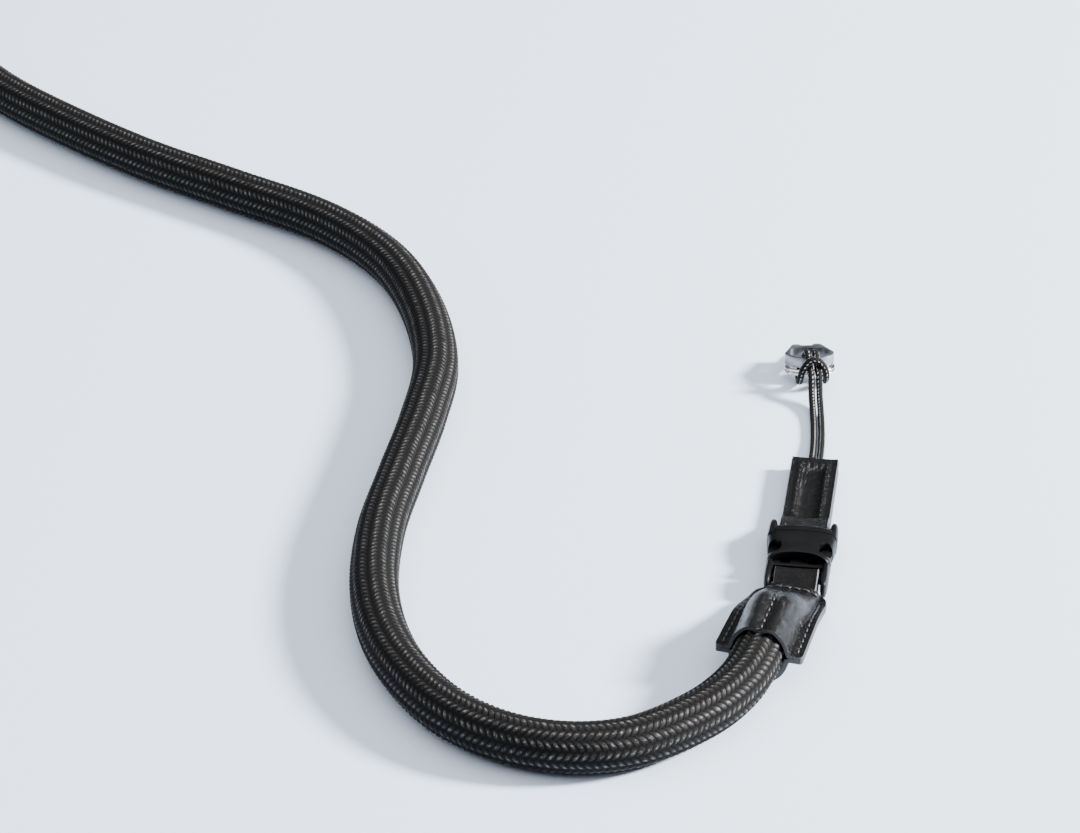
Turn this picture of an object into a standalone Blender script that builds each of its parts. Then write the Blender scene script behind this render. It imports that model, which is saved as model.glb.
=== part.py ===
"""A neck strap lying loose on a flat surface.

A round braided rope runs between two like ends. From the rope outward, each end is a leather
sleeve sewn over the rope, a short leather strip, a side-release buckle, a leather tab, and a
thin tether hitched round the bars of a guard plate and a split ring.

Metres, +Z up. The surface is z = 0. The origin lies on it, under the middle of the box that
the two ends' fittings fill. In an end's own frames +X runs outward, away from the rope.
"""

import math

import bmesh
import bpy
from mathutils import Matrix, Vector

# Clearance between pieces, and the wall of the leather in the sleeve
GAP = 0.0003
LEATHER = 0.0013
# How far a cord lies off the surface
REST = 0.0001

# Rope
ROPE_DIAMETER = 0.010
ROPE_STEP = 2.0 * ROPE_DIAMETER
# The centre line's own points from end a to end b: x, y, and how far the sleeve's wall lifts it.
ROPE_ROUTE = (
    (0.0782, -0.1963, 1.00),
    (0.0748, -0.2075, 1.00),
    (0.0705, -0.2170, 0.45),
    (0.0628, -0.2261, 0.12),
    (0.0504, -0.2344, 0.02),
    (0.0370, -0.2361, 0.00),
    (0.0238, -0.2315, 0.00),
    (0.0128, -0.2210, 0.00),
    (0.0043, -0.2040, 0.00),
    (0.0004, -0.1840, 0.00),
    (0.0008, -0.1615, 0.00),
    (0.0043, -0.1395, 0.00),
    (0.0083, -0.1165, 0.00),
    (0.0105, -0.0936, 0.00),
    (0.0068, -0.0685, 0.00),
    (-0.0017, -0.0465, 0.00),
    (-0.0167, -0.0283, 0.00),
    (-0.0383, -0.0126, 0.00),
    (-0.0607, 0.0036, 0.00),
    (-0.0834, 0.0240, 0.00),
    (-0.0987, 0.0405, 0.00),
    (-0.1097, 0.0580, 0.00),
    (-0.1162, 0.0790, 0.00),
    (-0.1142, 0.1010, 0.00),
    (-0.1022, 0.1185, 0.00),
    (-0.0827, 0.1285, 0.00),
    (-0.0607, 0.1315, 0.00),
    (-0.0367, 0.1310, 0.00),
    (-0.0127, 0.1305, 0.00),
    (0.0113, 0.1310, 0.00),
    (0.0353, 0.1340, 0.00),
    (0.0553, 0.1420, 0.00),
    (0.0678, 0.1570, 0.00),
    (0.0703, 0.1755, 0.02),
    (0.0613, 0.1915, 0.12),
    (0.0453, 0.1990, 0.45),
    (0.0323, 0.1995, 1.00),
    (0.0203, 0.1995, 1.00),
)

# Leather sleeve over the rope's end
SLEEVE_LENGTH = 0.028
SLEEVE_WIDTH = 0.0174
SLEEVE_SOCKET = 0.012
SLEEVE_LOBE_RISE = 0.0008
# Each section's place along the sleeve, then its shares of the width, the hump's width, the
# hump's height and the depth of the valley between the two lobes.
SLEEVE_SECTIONS = (
    {"along": 0.00, "width": 0.93, "hump": 1.00, "height": 1.00, "valley": 1.0},
    {"along": 0.05, "width": 1.00, "hump": 1.00, "height": 1.00, "valley": 1.0},
    {"along": 0.44, "width": 0.94, "hump": 1.00, "height": 1.00, "valley": 1.0},
    {"along": 0.60, "width": 0.90, "hump": 0.97, "height": 0.86, "valley": 0.8},
    {"along": 0.75, "width": 0.86, "hump": 0.91, "height": 0.64, "valley": 0.3},
    {"along": 0.87, "width": 0.82, "hump": 0.85, "height": 0.47, "valley": 0.0},
    {"along": 0.94, "width": 0.78, "hump": 0.82, "height": 0.41, "valley": 0.0},
    {"along": 1.00, "width": 0.69, "hump": 0.80, "height": 0.40, "valley": 0.0},
)
# Half of the hump's outline, from its foot at the flange to the middle: the share of its half
# width, the share of its height, and how much of the valley's depth is taken off there.
SLEEVE_UPPER = (
    {"across": 1.00, "rise": 0.00, "dip": 0.0},
    {"across": 0.93, "rise": 0.44, "dip": 0.0},
    {"across": 0.80, "rise": 0.80, "dip": 0.0},
    {"across": 0.62, "rise": 0.97, "dip": 0.0},
    {"across": 0.44, "rise": 1.00, "dip": 0.0},
    {"across": 0.20, "rise": 1.00, "dip": 0.6},
    {"across": 0.00, "rise": 1.00, "dip": 1.0},
)
SLEEVE_LOWER = (
    {"across": 1.00, "rise": 0.00},
    {"across": 0.92, "rise": 0.45},
    {"across": 0.78, "rise": 0.83},
    {"across": 0.58, "rise": 1.00},
    {"across": 0.00, "rise": 1.00},
)
SLEEVE_VALLEY = 0.0008

# Leather strip between the sleeve and the buckle
STRIP_WIDTH = 0.0088
STRIP_LEATHER = 0.0012
STRIP_THICKNESS = 0.0026
STRIP_INSIDE = 0.0045
STRIP_REACH = 0.0090
STRIP_BEND = 0.0030

# Side-release buckle: the receiver takes the tab, the insert takes the strip
BUCKLE_HEIGHT = 0.0062
BUCKLE_TOP_WIDTH = 0.0142
BUCKLE_MOUTH_WIDTH = 0.0128
BUCKLE_LENGTH = 0.0118
BUCKLE_BAR = 0.0016
MOUTH_ARCH = 0.0008
HORN_REACH = 0.0038
HORN_THICKNESS = 0.0019
HORN_HEIGHT = 0.0048
ARM_REACH = 0.0080
ARM_THICKNESS = 0.0016
ARM_HEIGHT = 0.0046
POCKET_WIDTH = 0.0106
POCKET_HEIGHT = 0.0030
POCKET_DEPTH = 0.0085
WINDOW_ALONG = 0.0040
WINDOW_LENGTH = 0.0046
WINDOW_WIDTH = 0.0030
BASE_THICKNESS = 0.0010
PRONG_THICKNESS = 0.0012
TONGUE_WIDTH = 0.0034
TONGUE_LENGTH = 0.0068
# The receiver from its mouth to its far edge: the share of the way from the mouth's width to
# the far edge's width, and the share of the full section that rounds its two edges.
RECEIVER_SECTIONS = (
    {"along": 0.00, "widen": 0.00, "fill": 0.90},
    {"along": 0.07, "widen": 0.00, "fill": 1.00},
    {"along": 0.30, "widen": 0.06, "fill": 1.00},
    {"along": 0.62, "widen": 0.70, "fill": 1.00},
    {"along": 0.93, "widen": 1.00, "fill": 1.00},
    {"along": 1.00, "widen": 1.00, "fill": 0.92},
)
# A horn or an arm from its root to its tip: the shares of its thickness and height.
HORN_SECTIONS = (
    {"along": 0.00, "thick": 1.00, "high": 1.00},
    {"along": 0.55, "thick": 1.00, "high": 1.00},
    {"along": 0.85, "thick": 0.82, "high": 0.86},
    {"along": 0.96, "thick": 0.55, "high": 0.66},
    {"along": 1.00, "thick": 0.25, "high": 0.40},
)

# Leather tab
TAB_LENGTH = 0.031
TAB_WIDTH = 0.0097
TAB_THICKNESS = 0.0032
TAB_LEATHER = 0.0012
TAB_TAPER = 0.0060
PANEL_LENGTH = 0.0225
PANEL_WIDTH = 0.0052
PANEL_RISE = 0.0009
PANEL_INSET = 0.0026
# The raised panel from one end to the other: the shares of its width and its rise.
PANEL_SECTIONS = (
    {"along": 0.00, "width": 0.55, "rise": 0.15},
    {"along": 0.04, "width": 0.90, "rise": 0.70},
    {"along": 0.12, "width": 1.00, "rise": 1.00},
    {"along": 0.88, "width": 1.00, "rise": 1.00},
    {"along": 0.96, "width": 0.90, "rise": 0.70},
    {"along": 1.00, "width": 0.55, "rise": 0.15},
)

# Thin tether
TETHER_DIAMETER = 0.0015
TETHER_SPACING = 0.0017
TETHER_REACH = 0.036
TETHER_INSIDE = 0.0060
TETHER_STEP = 0.0016
# A strand from the tab to the bars: its place on the way, how much of its height in the tab it
# keeps, and how much of the guard's raise it has reached.
TETHER_ROUTE = (
    {"along": 0.03, "drop": 1.00, "rise": 0.00},
    {"along": 0.15, "drop": 0.50, "rise": 0.00},
    {"along": 0.30, "drop": 0.04, "rise": 0.00},
    {"along": 0.46, "drop": 0.00, "rise": 0.00},
    {"along": 0.62, "drop": 0.00, "rise": 0.14},
    {"along": 0.75, "drop": 0.00, "rise": 0.85},
)

# Guard plate and split ring
GUARD_WIDTH = 0.0107
GUARD_LENGTH = 0.0091
GUARD_SHOULDER = 0.0060
GUARD_THICKNESS = 0.0022
GUARD_BAR = 0.0011
GUARD_BAND = 0.0024
GUARD_NOTCH_WIDTH = 0.0026
GUARD_NOTCH_DEPTH = 0.0008
RING_THICKNESS = 0.0015
RING_WIDTH = 0.0112
RING_LENGTH = 0.0134
RING_BASE_RADIUS = 0.0027
RING_APEX_RADIUS = 0.0020

# How the strip and the tether of each end turn to the left as they lie, in degrees
ENDS = (
    {"end": "a", "strip_turn": 9.0, "tether_turn": 12.0},
    {"end": "b", "strip_turn": -5.0, "tether_turn": 8.0},
)

ROPE_LIFT = LEATHER + GAP
BUCKLE_MIDDLE = BUCKLE_HEIGHT / 2
STRIP_LOOP = BUCKLE_BAR / 2 + GAP + STRIP_LEATHER
TAB_LOOP = BUCKLE_BAR / 2 + GAP + TAB_LEATHER
TAB_BAR = BUCKLE_LENGTH + GAP + TAB_LOOP
STRIP_BAR = -(GAP + BASE_THICKNESS + GAP + STRIP_LOOP)
TAB_END = BUCKLE_LENGTH + TAB_LENGTH
GUARD_RAISE = TETHER_DIAMETER + GAP + 3 * REST
GUARD_PITCH = math.asin(GUARD_RAISE / RING_LENGTH)


def collection_named(name):
    """A new collection in the scene."""
    made = bpy.data.collections.new(name)
    bpy.context.scene.collection.children.link(made)
    return made


def material_named(name, colour, roughness, metallic):
    """A plain material of the given colour, roughness and metallic value."""
    made = bpy.data.materials.new(name)
    made.use_nodes = True
    shader = made.node_tree.nodes["Principled BSDF"]
    shader.inputs["Base Color"].default_value = (*colour, 1.0)
    shader.inputs["Roughness"].default_value = roughness
    shader.inputs["Metallic"].default_value = metallic
    return made


def object_from(name, bm, frame, collection, material=None):
    """An object made from a bmesh, lying in the frame of an empty."""
    bmesh.ops.recalc_face_normals(bm, faces=bm.faces)
    mesh = bpy.data.meshes.new(name)
    bm.to_mesh(mesh)
    bm.free()
    mesh.shade_smooth()
    mesh.set_sharp_from_angle(angle=math.radians(35))
    if material:
        mesh.materials.append(material)
    made = bpy.data.objects.new(name, mesh)
    made.parent = frame
    collection.objects.link(made)
    return made


def as_helper(made):
    """Marks a cutter or a joined piece, which only its owner's Boolean shows."""
    made.hide_render = True
    made.display_type = "WIRE"
    return made


def boolean(owner, operation, helper):
    """Joins the helper to its owner, or cuts it away."""
    modifier = owner.modifiers.new(f"{operation.lower()}_{helper.name}", "BOOLEAN")
    modifier.operation = operation
    modifier.solver = "EXACT"
    modifier.object = helper


def frame_empty(name, matrix, collection):
    """An empty that holds one frame of an end."""
    made = bpy.data.objects.new(name, None)
    made.matrix_world = matrix
    made.empty_display_size = 0.005
    collection.objects.link(made)
    return made


def loft(loops):
    """A bmesh skin over rings of equally many points, closed by a face at each end."""
    bm = bmesh.new()
    rings = [[bm.verts.new(point) for point in loop] for loop in loops]
    count = len(rings[0])
    for first, second in zip(rings, rings[1:]):
        for k in range(count):
            n = (k + 1) % count
            bm.faces.new((first[k], first[n], second[n], second[k]))
    bm.faces.new(rings[0])
    bm.faces.new(rings[-1])
    return bm


def soft_section(x, y, z, width, height, squareness=3.2, points=20):
    """A rounded rectangle across the strap at x, centred on y and z."""
    loop = []
    for k in range(points):
        angle = math.tau * k / points
        side, up = math.cos(angle), math.sin(angle)
        across = math.copysign(abs(side) ** (2 / squareness), side)
        rise = math.copysign(abs(up) ** (2 / squareness), up)
        loop.append((x, y + across * width / 2, z + rise * height / 2))
    return loop


def box(size, centre):
    """A bmesh box of the given size about its centre."""
    bm = bmesh.new()
    bmesh.ops.create_cube(bm, size=1.0)
    bmesh.ops.scale(bm, vec=size, verts=bm.verts)
    bmesh.ops.translate(bm, vec=centre, verts=bm.verts)
    return bm


def cylinder(radius, length, centre, axis, sides=20):
    """A bmesh cylinder along X, Y or Z."""
    bm = bmesh.new()
    bmesh.ops.create_cone(
        bm,
        cap_ends=True,
        segments=sides,
        radius1=radius,
        radius2=radius,
        depth=length,
    )
    turn = {"X": Matrix.Rotation(math.pi / 2, 4, "Y"), "Y": Matrix.Rotation(math.pi / 2, 4, "X")}
    if axis in turn:
        bmesh.ops.transform(bm, matrix=turn[axis], verts=bm.verts)
    bmesh.ops.translate(bm, vec=centre, verts=bm.verts)
    return bm


def flat_plate(outlines, thickness):
    """A bmesh plate from an outline and the outlines of its holes, centred on z = 0."""
    curve = bpy.data.curves.new("plate", "CURVE")
    curve.dimensions = "2D"
    curve.fill_mode = "BOTH"
    curve.extrude = thickness / 2
    for outline in outlines:
        spline = curve.splines.new("POLY")
        spline.points.add(len(outline) - 1)
        for point, (x, y) in zip(spline.points, outline):
            point.co = (x, y, 0.0, 1.0)
        spline.use_cyclic_u = True
    holder = bpy.data.objects.new("plate", curve)
    bpy.context.scene.collection.objects.link(holder)
    graph = bpy.context.evaluated_depsgraph_get()
    mesh = bpy.data.meshes.new_from_object(holder.evaluated_get(graph))
    bpy.data.objects.remove(holder)
    bpy.data.curves.remove(curve)
    bm = bmesh.new()
    bm.from_mesh(mesh)
    bpy.data.meshes.remove(mesh)
    bmesh.ops.remove_doubles(bm, verts=bm.verts, dist=1e-6)
    return bm


def held_line(points, step):
    """A straight first and last stretch, and equal steps along a smooth curve between them.

    The curve passes through every point but the first and the last, which steer its ends.
    """
    fine = []
    for a, b, c, d in zip(points, points[1:], points[2:], points[3:]):
        for k in range(24):
            t = k / 24
            fine.append(
                0.5
                * (
                    2 * b
                    + (c - a) * t
                    + (2 * a - 5 * b + 4 * c - d) * t**2
                    + (3 * b - a - 3 * c + d) * t**3
                )
            )
    fine.append(points[-2])
    run = [0.0]
    for a, b in zip(fine, fine[1:]):
        run.append(run[-1] + (b - a).length)
    count = round(run[-1] / step)
    line = [points[0]]
    k = 0
    for n in range(count + 1):
        want = run[-1] * n / count
        while k < len(run) - 2 and run[k + 1] < want:
            k += 1
        share = (want - run[k]) / (run[k + 1] - run[k])
        line.append(fine[k].lerp(fine[k + 1], share))
    line.append(points[-1])
    return line


def tube(name, line, diameter, resolution, collection, material, frame=None, closed=False):
    """A round tube along a line, as a curve object with filled caps."""
    curve = bpy.data.curves.new(name, "CURVE")
    curve.dimensions = "3D"
    curve.bevel_depth = diameter / 2
    curve.bevel_resolution = resolution
    curve.use_fill_caps = not closed
    spline = curve.splines.new("POLY")
    spline.points.add(len(line) - 1)
    for point, place in zip(spline.points, line):
        point.co = (*place, 1.0)
    spline.use_cyclic_u = closed
    spline.use_smooth = True
    curve.materials.append(material)
    made = bpy.data.objects.new(name, curve)
    made.parent = frame
    collection.objects.link(made)
    return made


def turned(length, turn):
    """The frame at the end of an arc of this length that turns to the left by this angle."""
    radius = length / turn
    end = Vector((radius * math.sin(turn), radius * (1 - math.cos(turn)), 0))
    return Matrix.Translation(end) @ Matrix.Rotation(turn, 4, "Z")


def bend(bm, length, turn):
    """Bends a bmesh to the left over the first stretch of +X."""
    for vert in bm.verts:
        x, y, z = vert.co
        along = min(max(x, 0.0), length)
        if along > 0:
            share = turned(along, turn * along / length)
            vert.co = share @ Vector((x - along, y, z))


def sleeve_loop(row):
    """The sleeve's section: a flat flange each side of a hump with two lobes above."""
    x = row["along"] * SLEEVE_LENGTH
    low = (ROPE_DIAMETER / 2 + GAP + LEATHER) * row["height"]
    crest = low + SLEEVE_LOBE_RISE * row["valley"]
    hump = (ROPE_DIAMETER / 2 + 2 * GAP + LEATHER) * row["hump"]
    edge = row["width"] * SLEEVE_WIDTH / 2
    upper = [(edge, LEATHER)]
    for part in SLEEVE_UPPER:
        rise = LEATHER + part["rise"] * (crest - LEATHER)
        upper.append((part["across"] * hump, rise - part["dip"] * row["valley"] * SLEEVE_VALLEY))
    lower = [(edge, -LEATHER)]
    for part in SLEEVE_LOWER:
        lower.append((part["across"] * hump, -LEATHER - part["rise"] * (low - LEATHER)))
    right = [*lower[::-1], *upper]
    left = [(-y, z) for y, z in right[-2:0:-1]]
    return [(x, y, low + z) for y, z in right + left]


def make_sleeve(end, frame, collection, helpers, material):
    """Two leather faces sewn round the rope's end, with a bore for it and a slot for the strip."""
    sleeve = object_from(
        f"sleeve_{end}", loft([sleeve_loop(row) for row in SLEEVE_SECTIONS]), frame, collection, material
    )
    over = 0.002
    bore = cylinder(
        ROPE_DIAMETER / 2 + GAP,
        SLEEVE_SOCKET + over,
        ((SLEEVE_SOCKET - over) / 2, 0, ROPE_DIAMETER / 2 + ROPE_LIFT),
        "X",
        24,
    )
    slot = box(
        (STRIP_INSIDE + GAP + over, STRIP_WIDTH + 2 * GAP, STRIP_THICKNESS + 2 * GAP),
        (SLEEVE_LENGTH + (over - STRIP_INSIDE - GAP) / 2, 0, strip_height()),
    )
    for name, cutter in (("bore", bore), ("slot", slot)):
        helper = object_from(f"cut_{name}_{end}", cutter, frame, helpers)
        boolean(sleeve, "DIFFERENCE", as_helper(helper))


def strip_height():
    """The height of the strip's middle where it leaves the sleeve."""
    return (ROPE_DIAMETER / 2 + GAP + LEATHER) * SLEEVE_SECTIONS[-1]["height"]


def folded_strap(bar, free_end, bar_height, free_height, thickness, loop, leather, taper, width):
    """A strap folded round a bar and sewn flat beyond it, running along X, as a bmesh."""
    way = math.copysign(1.0, free_end - bar)
    reach = abs(free_end - bar)
    arc = []
    for k in range(13):
        angle = math.radians(75 + 210 * k / 12)
        arc.append((loop * math.cos(angle), bar_height + loop * math.sin(angle)))
    first = loop * math.cos(math.radians(75))
    bottom = free_height - thickness / 2
    top = free_height + thickness / 2
    under = []
    over = []
    for k in range(1, 6):
        u = first + (taper - first) * k / 5
        share = (k / 5) ** 2 * (3 - 2 * k / 5)
        under.append((u, arc[-1][1] + (bottom - arc[-1][1]) * share))
        over.append((u, arc[0][1] + (top - arc[0][1]) * share))
    under.append((reach, bottom))
    over.append((reach, top))
    eye = loop - leather
    hole = []
    for k in range(12):
        angle = math.tau * k / 12
        hole.append((eye * math.cos(angle), bar_height + eye * math.sin(angle)))
    outlines = [[(bar + way * u, z) for u, z in outline] for outline in (arc + under + over[::-1], hole)]
    bm = flat_plate(outlines, width)
    bmesh.ops.transform(bm, matrix=Matrix.Rotation(math.pi / 2, 4, "X"), verts=bm.verts)
    return bm


def make_strip(end, frame, turn, collection, material):
    """The leather strip from inside the sleeve to the insert's bar, bent a little sideways."""
    bar = STRIP_REACH + STRIP_BAR
    bm = folded_strap(
        bar,
        -STRIP_INSIDE,
        BUCKLE_MIDDLE,
        strip_height(),
        STRIP_THICKNESS,
        STRIP_LOOP,
        STRIP_LEATHER,
        bar - STRIP_BEND / 4,
        STRIP_WIDTH,
    )
    bend(bm, STRIP_BEND, turn)
    object_from(f"strip_{end}", bm, frame, collection, material)


def side_piece(root, tip, across, thickness, height):
    """A horn or an arm along X, rounded towards its tip."""
    loops = []
    for row in HORN_SECTIONS:
        x = root + (tip - root) * row["along"]
        loops.append(
            soft_section(x, across, BUCKLE_MIDDLE, thickness * row["thick"], height * row["high"], 3.0, 12)
        )
    return loft(loops)


def upright_ellipse(x, y, length, width, height, sides=20):
    """An upright elliptic cylinder about the buckle's middle height."""
    bm = cylinder(0.5, 1.0, (0, 0, 0), "Z", sides)
    bmesh.ops.scale(bm, vec=(length, width, height), verts=bm.verts)
    bmesh.ops.translate(bm, vec=(x, y, BUCKLE_MIDDLE), verts=bm.verts)
    return bm


def window_centre():
    """How far across a side window's centre lies, so that it breaks through the side wall."""
    return BUCKLE_MOUTH_WIDTH / 2 - WINDOW_WIDTH / 2 + GAP


def make_receiver(end, frame, collection, helpers, material):
    """The buckle's hollow half: a pocket, two side windows, two horns and the tab's bar."""
    loops = []
    for row in RECEIVER_SECTIONS:
        width = BUCKLE_MOUTH_WIDTH + (BUCKLE_TOP_WIDTH - BUCKLE_MOUTH_WIDTH) * row["widen"]
        x = row["along"] * BUCKLE_LENGTH
        loops.append(
            soft_section(x, 0, BUCKLE_MIDDLE, width * row["fill"], BUCKLE_HEIGHT * row["fill"], 3.4, 28)
        )
    receiver = object_from(f"buckle_receiver_{end}", loft(loops), frame, collection, material)
    horn_across = (BUCKLE_TOP_WIDTH - HORN_THICKNESS) / 2
    root = BUCKLE_LENGTH - HORN_THICKNESS
    tip = BUCKLE_LENGTH + HORN_REACH
    bar_length = BUCKLE_TOP_WIDTH - HORN_THICKNESS
    joined = {
        "horn_left": side_piece(root, tip, horn_across, HORN_THICKNESS, HORN_HEIGHT),
        "horn_right": side_piece(root, tip, -horn_across, HORN_THICKNESS, HORN_HEIGHT),
        "tab_bar": cylinder(BUCKLE_BAR / 2, bar_length, (TAB_BAR, 0, BUCKLE_MIDDLE), "Y", 12),
    }
    for name, bm in joined.items():
        helper = object_from(f"join_{name}_{end}", bm, frame, helpers)
        boolean(receiver, "UNION", as_helper(helper))
    over = 0.002
    arch_radius = BUCKLE_MOUTH_WIDTH**2 / (8 * MOUTH_ARCH)
    cut = {
        "pocket": box(
            (POCKET_DEPTH + over, POCKET_WIDTH, POCKET_HEIGHT),
            ((POCKET_DEPTH - over) / 2, 0, BUCKLE_MIDDLE),
        ),
        "arch": cylinder(arch_radius, 2 * BUCKLE_HEIGHT, (MOUTH_ARCH - arch_radius, 0, BUCKLE_MIDDLE), "Z", 96),
    }
    for side, way in (("left", 1), ("right", -1)):
        cut[f"window_{side}"] = upright_ellipse(
            WINDOW_ALONG, way * window_centre(), WINDOW_LENGTH, WINDOW_WIDTH, 2 * BUCKLE_HEIGHT
        )
    for name, bm in cut.items():
        helper = object_from(f"cut_{name}_{end}", bm, frame, helpers)
        boolean(receiver, "DIFFERENCE", as_helper(helper))


def make_insert(end, frame, collection, helpers, material):
    """The buckle's solid half: a base with two arms and a bar, two prongs and a tongue."""
    height = POCKET_HEIGHT - 2 * GAP
    root = -(GAP + BASE_THICKNESS / 2)
    arm_across = (BUCKLE_MOUTH_WIDTH - ARM_THICKNESS) / 2
    span = 2 * arm_across + 0.3 * ARM_THICKNESS
    insert = object_from(
        f"buckle_insert_{end}",
        box((BASE_THICKNESS, span, 0.9 * ARM_HEIGHT), (root, 0, BUCKLE_MIDDLE)),
        frame,
        collection,
        material,
    )
    bulb = WINDOW_WIDTH - 2 * GAP
    prong_across = POCKET_WIDTH / 2 - GAP - PRONG_THICKNESS / 2
    joined = {
        "bar": cylinder(BUCKLE_BAR / 2, span, (STRIP_BAR, 0, BUCKLE_MIDDLE), "Y", 12),
        "tongue": box(
            (TONGUE_LENGTH - root, TONGUE_WIDTH, height),
            ((TONGUE_LENGTH + root) / 2, 0, BUCKLE_MIDDLE),
        ),
    }
    for side, way in (("left", 1), ("right", -1)):
        joined[f"arm_{side}"] = side_piece(
            root + 0.0003, -ARM_REACH, way * arm_across, ARM_THICKNESS, ARM_HEIGHT
        )
        joined[f"prong_{side}"] = box(
            (WINDOW_ALONG - root, PRONG_THICKNESS, height - 0.0001),
            ((WINDOW_ALONG + root) / 2, way * prong_across, BUCKLE_MIDDLE),
        )
        joined[f"bulb_{side}"] = upright_ellipse(
            WINDOW_ALONG, way * window_centre(), WINDOW_LENGTH - 2 * GAP, bulb, height
        )
    for name, bm in joined.items():
        helper = object_from(f"join_{name}_{end}", bm, frame, helpers)
        boolean(insert, "UNION", as_helper(helper))


def tether_height():
    """The height of the tether's centre where it leaves the tab."""
    return TAB_THICKNESS / 2


def make_tab(end, frame, collection, helpers, material):
    """The leather tab folded round the receiver's bar, with a raised panel and the tether's socket."""
    bm = folded_strap(
        TAB_BAR,
        TAB_END,
        BUCKLE_MIDDLE,
        TAB_THICKNESS / 2,
        TAB_THICKNESS,
        TAB_LOOP,
        TAB_LEATHER,
        TAB_TAPER,
        TAB_WIDTH,
    )
    tab = object_from(f"tab_{end}", bm, frame, collection, material)
    start = TAB_END - PANEL_INSET - PANEL_LENGTH
    seat = TAB_THICKNESS - PANEL_RISE / 4
    loops = []
    for row in PANEL_SECTIONS:
        x = start + PANEL_LENGTH * row["along"]
        height = 2.5 * PANEL_RISE * row["rise"]
        loops.append(soft_section(x, 0, seat, PANEL_WIDTH * row["width"], height, 2.4, 12))
    panel = object_from(f"join_panel_{end}", loft(loops), frame, helpers)
    boolean(tab, "UNION", as_helper(panel))
    over = 0.001
    socket = box(
        (TETHER_INSIDE + GAP + over, TETHER_SPACING + TETHER_DIAMETER + 2 * GAP, TETHER_DIAMETER + 2 * GAP),
        (TAB_END + (over - TETHER_INSIDE - GAP) / 2, 0, tether_height()),
    )
    boolean(tab, "DIFFERENCE", as_helper(object_from(f"cut_socket_{end}", socket, frame, helpers)))


def arc_points(centre, radius, first, last, count):
    """Points on an arc between two angles in degrees."""
    points = []
    for k in range(count + 1):
        angle = math.radians(first + (last - first) * k / count)
        points.append((centre[0] + radius[0] * math.cos(angle), centre[1] + radius[1] * math.sin(angle)))
    return points


def make_guard(end, frame, collection, material):
    """The guard plate: a round lower bar, slanting sides, a notch at the top and one window."""
    half = GUARD_WIDTH / 2
    middle = 0.42 * GUARD_LENGTH
    corner = 0.0007
    shoulder = GUARD_SHOULDER / 2
    notch = GUARD_NOTCH_WIDTH / 2
    lower = arc_points((middle, 0), (middle, half), 90, 270, 14)
    outer = [
        *lower,
        (GUARD_LENGTH - corner, -shoulder - corner / 2),
        (GUARD_LENGTH, -shoulder + corner / 2),
        (GUARD_LENGTH, -notch - corner / 2),
        (GUARD_LENGTH - GUARD_NOTCH_DEPTH, -notch),
        (GUARD_LENGTH - GUARD_NOTCH_DEPTH, notch),
        (GUARD_LENGTH, notch + corner / 2),
        (GUARD_LENGTH, shoulder - corner / 2),
        (GUARD_LENGTH - corner, shoulder + corner / 2),
    ]
    top = GUARD_LENGTH - GUARD_BAND
    inner_half = half - GUARD_BAR
    window = [
        *arc_points((middle, 0), (middle - GUARD_BAR, inner_half), 90, 270, 12),
        (top - corner, -inner_half + corner),
        (top, -inner_half + 2.5 * corner),
        (top, inner_half - 2.5 * corner),
        (top - corner, inner_half - corner),
    ]
    bm = flat_plate([outer, window], GUARD_THICKNESS)
    lift = RING_THICKNESS + GAP + GUARD_THICKNESS / 2
    bmesh.ops.translate(bm, vec=(0, 0, lift), verts=bm.verts)
    object_from(f"ring_guard_{end}", bm, frame, collection, material)


def make_ring(end, frame, collection, material):
    """The split ring under the guard plate, a rounded triangle with its point outward."""
    wire = RING_THICKNESS / 2
    base_x = RING_BASE_RADIUS + wire / 2
    base_y = RING_WIDTH / 2 - wire - RING_BASE_RADIUS
    apex_x = RING_LENGTH - wire - RING_APEX_RADIUS
    run = math.hypot(apex_x - base_x, base_y)
    lean = math.degrees(
        math.atan2(base_y, apex_x - base_x) - math.asin((RING_BASE_RADIUS - RING_APEX_RADIUS) / run)
    )
    base = (RING_BASE_RADIUS, RING_BASE_RADIUS)
    apex = (RING_APEX_RADIUS, RING_APEX_RADIUS)
    outline = [
        *arc_points((apex_x, 0), apex, lean - 90, 90 - lean, 8),
        *arc_points((base_x, base_y), base, 90 - lean, 180, 6),
        *arc_points((base_x, -base_y), base, 180, 270 + lean, 6),
    ]
    line = [Vector((x, y, wire)) for x, y in outline]
    tube(f"split_ring_{end}", line, RING_THICKNESS, 1, collection, material, frame, closed=True)


def hitch_route():
    """One half of the hitch in the guard's frame, from the strand to the middle of its bight."""
    radius = TETHER_DIAMETER / 2
    top = RING_THICKNESS + GAP + GUARD_THICKNESS + GAP + radius
    under = -GAP - radius
    near = -GAP - radius
    far = RING_THICKNESS + GAP + radius
    strand = TETHER_SPACING / 2
    side = strand + TETHER_DIAMETER + GAP
    back = near - 2 * TETHER_DIAMETER
    return (
        (back - 0.0022, strand, top - 0.0028),
        (back, strand, top - 0.0022),
        (near - 0.0007, strand, top - 0.0008),
        (GUARD_BAR / 2, strand + 0.0001, top + 0.0001),
        (far, strand + 0.0004, top - 0.0016),
        (far + 0.0002, strand + 0.0009, top / 2 - 0.0003),
        (far - 0.0003, side - 0.0002, under + 0.0006),
        (GUARD_BAR / 2, side, under),
        (near - 0.0004, side + 0.0001, under + 0.0005),
        (back + 0.0006, side + 0.0001, under + 0.0022),
        (back - 0.0001, side - 0.0003, top / 2 + 0.0006),
        (back - 0.0002, strand + 0.0003, top - 0.0002),
        (back - 0.0002, 0.0, top + 0.0002),
    )


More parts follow.
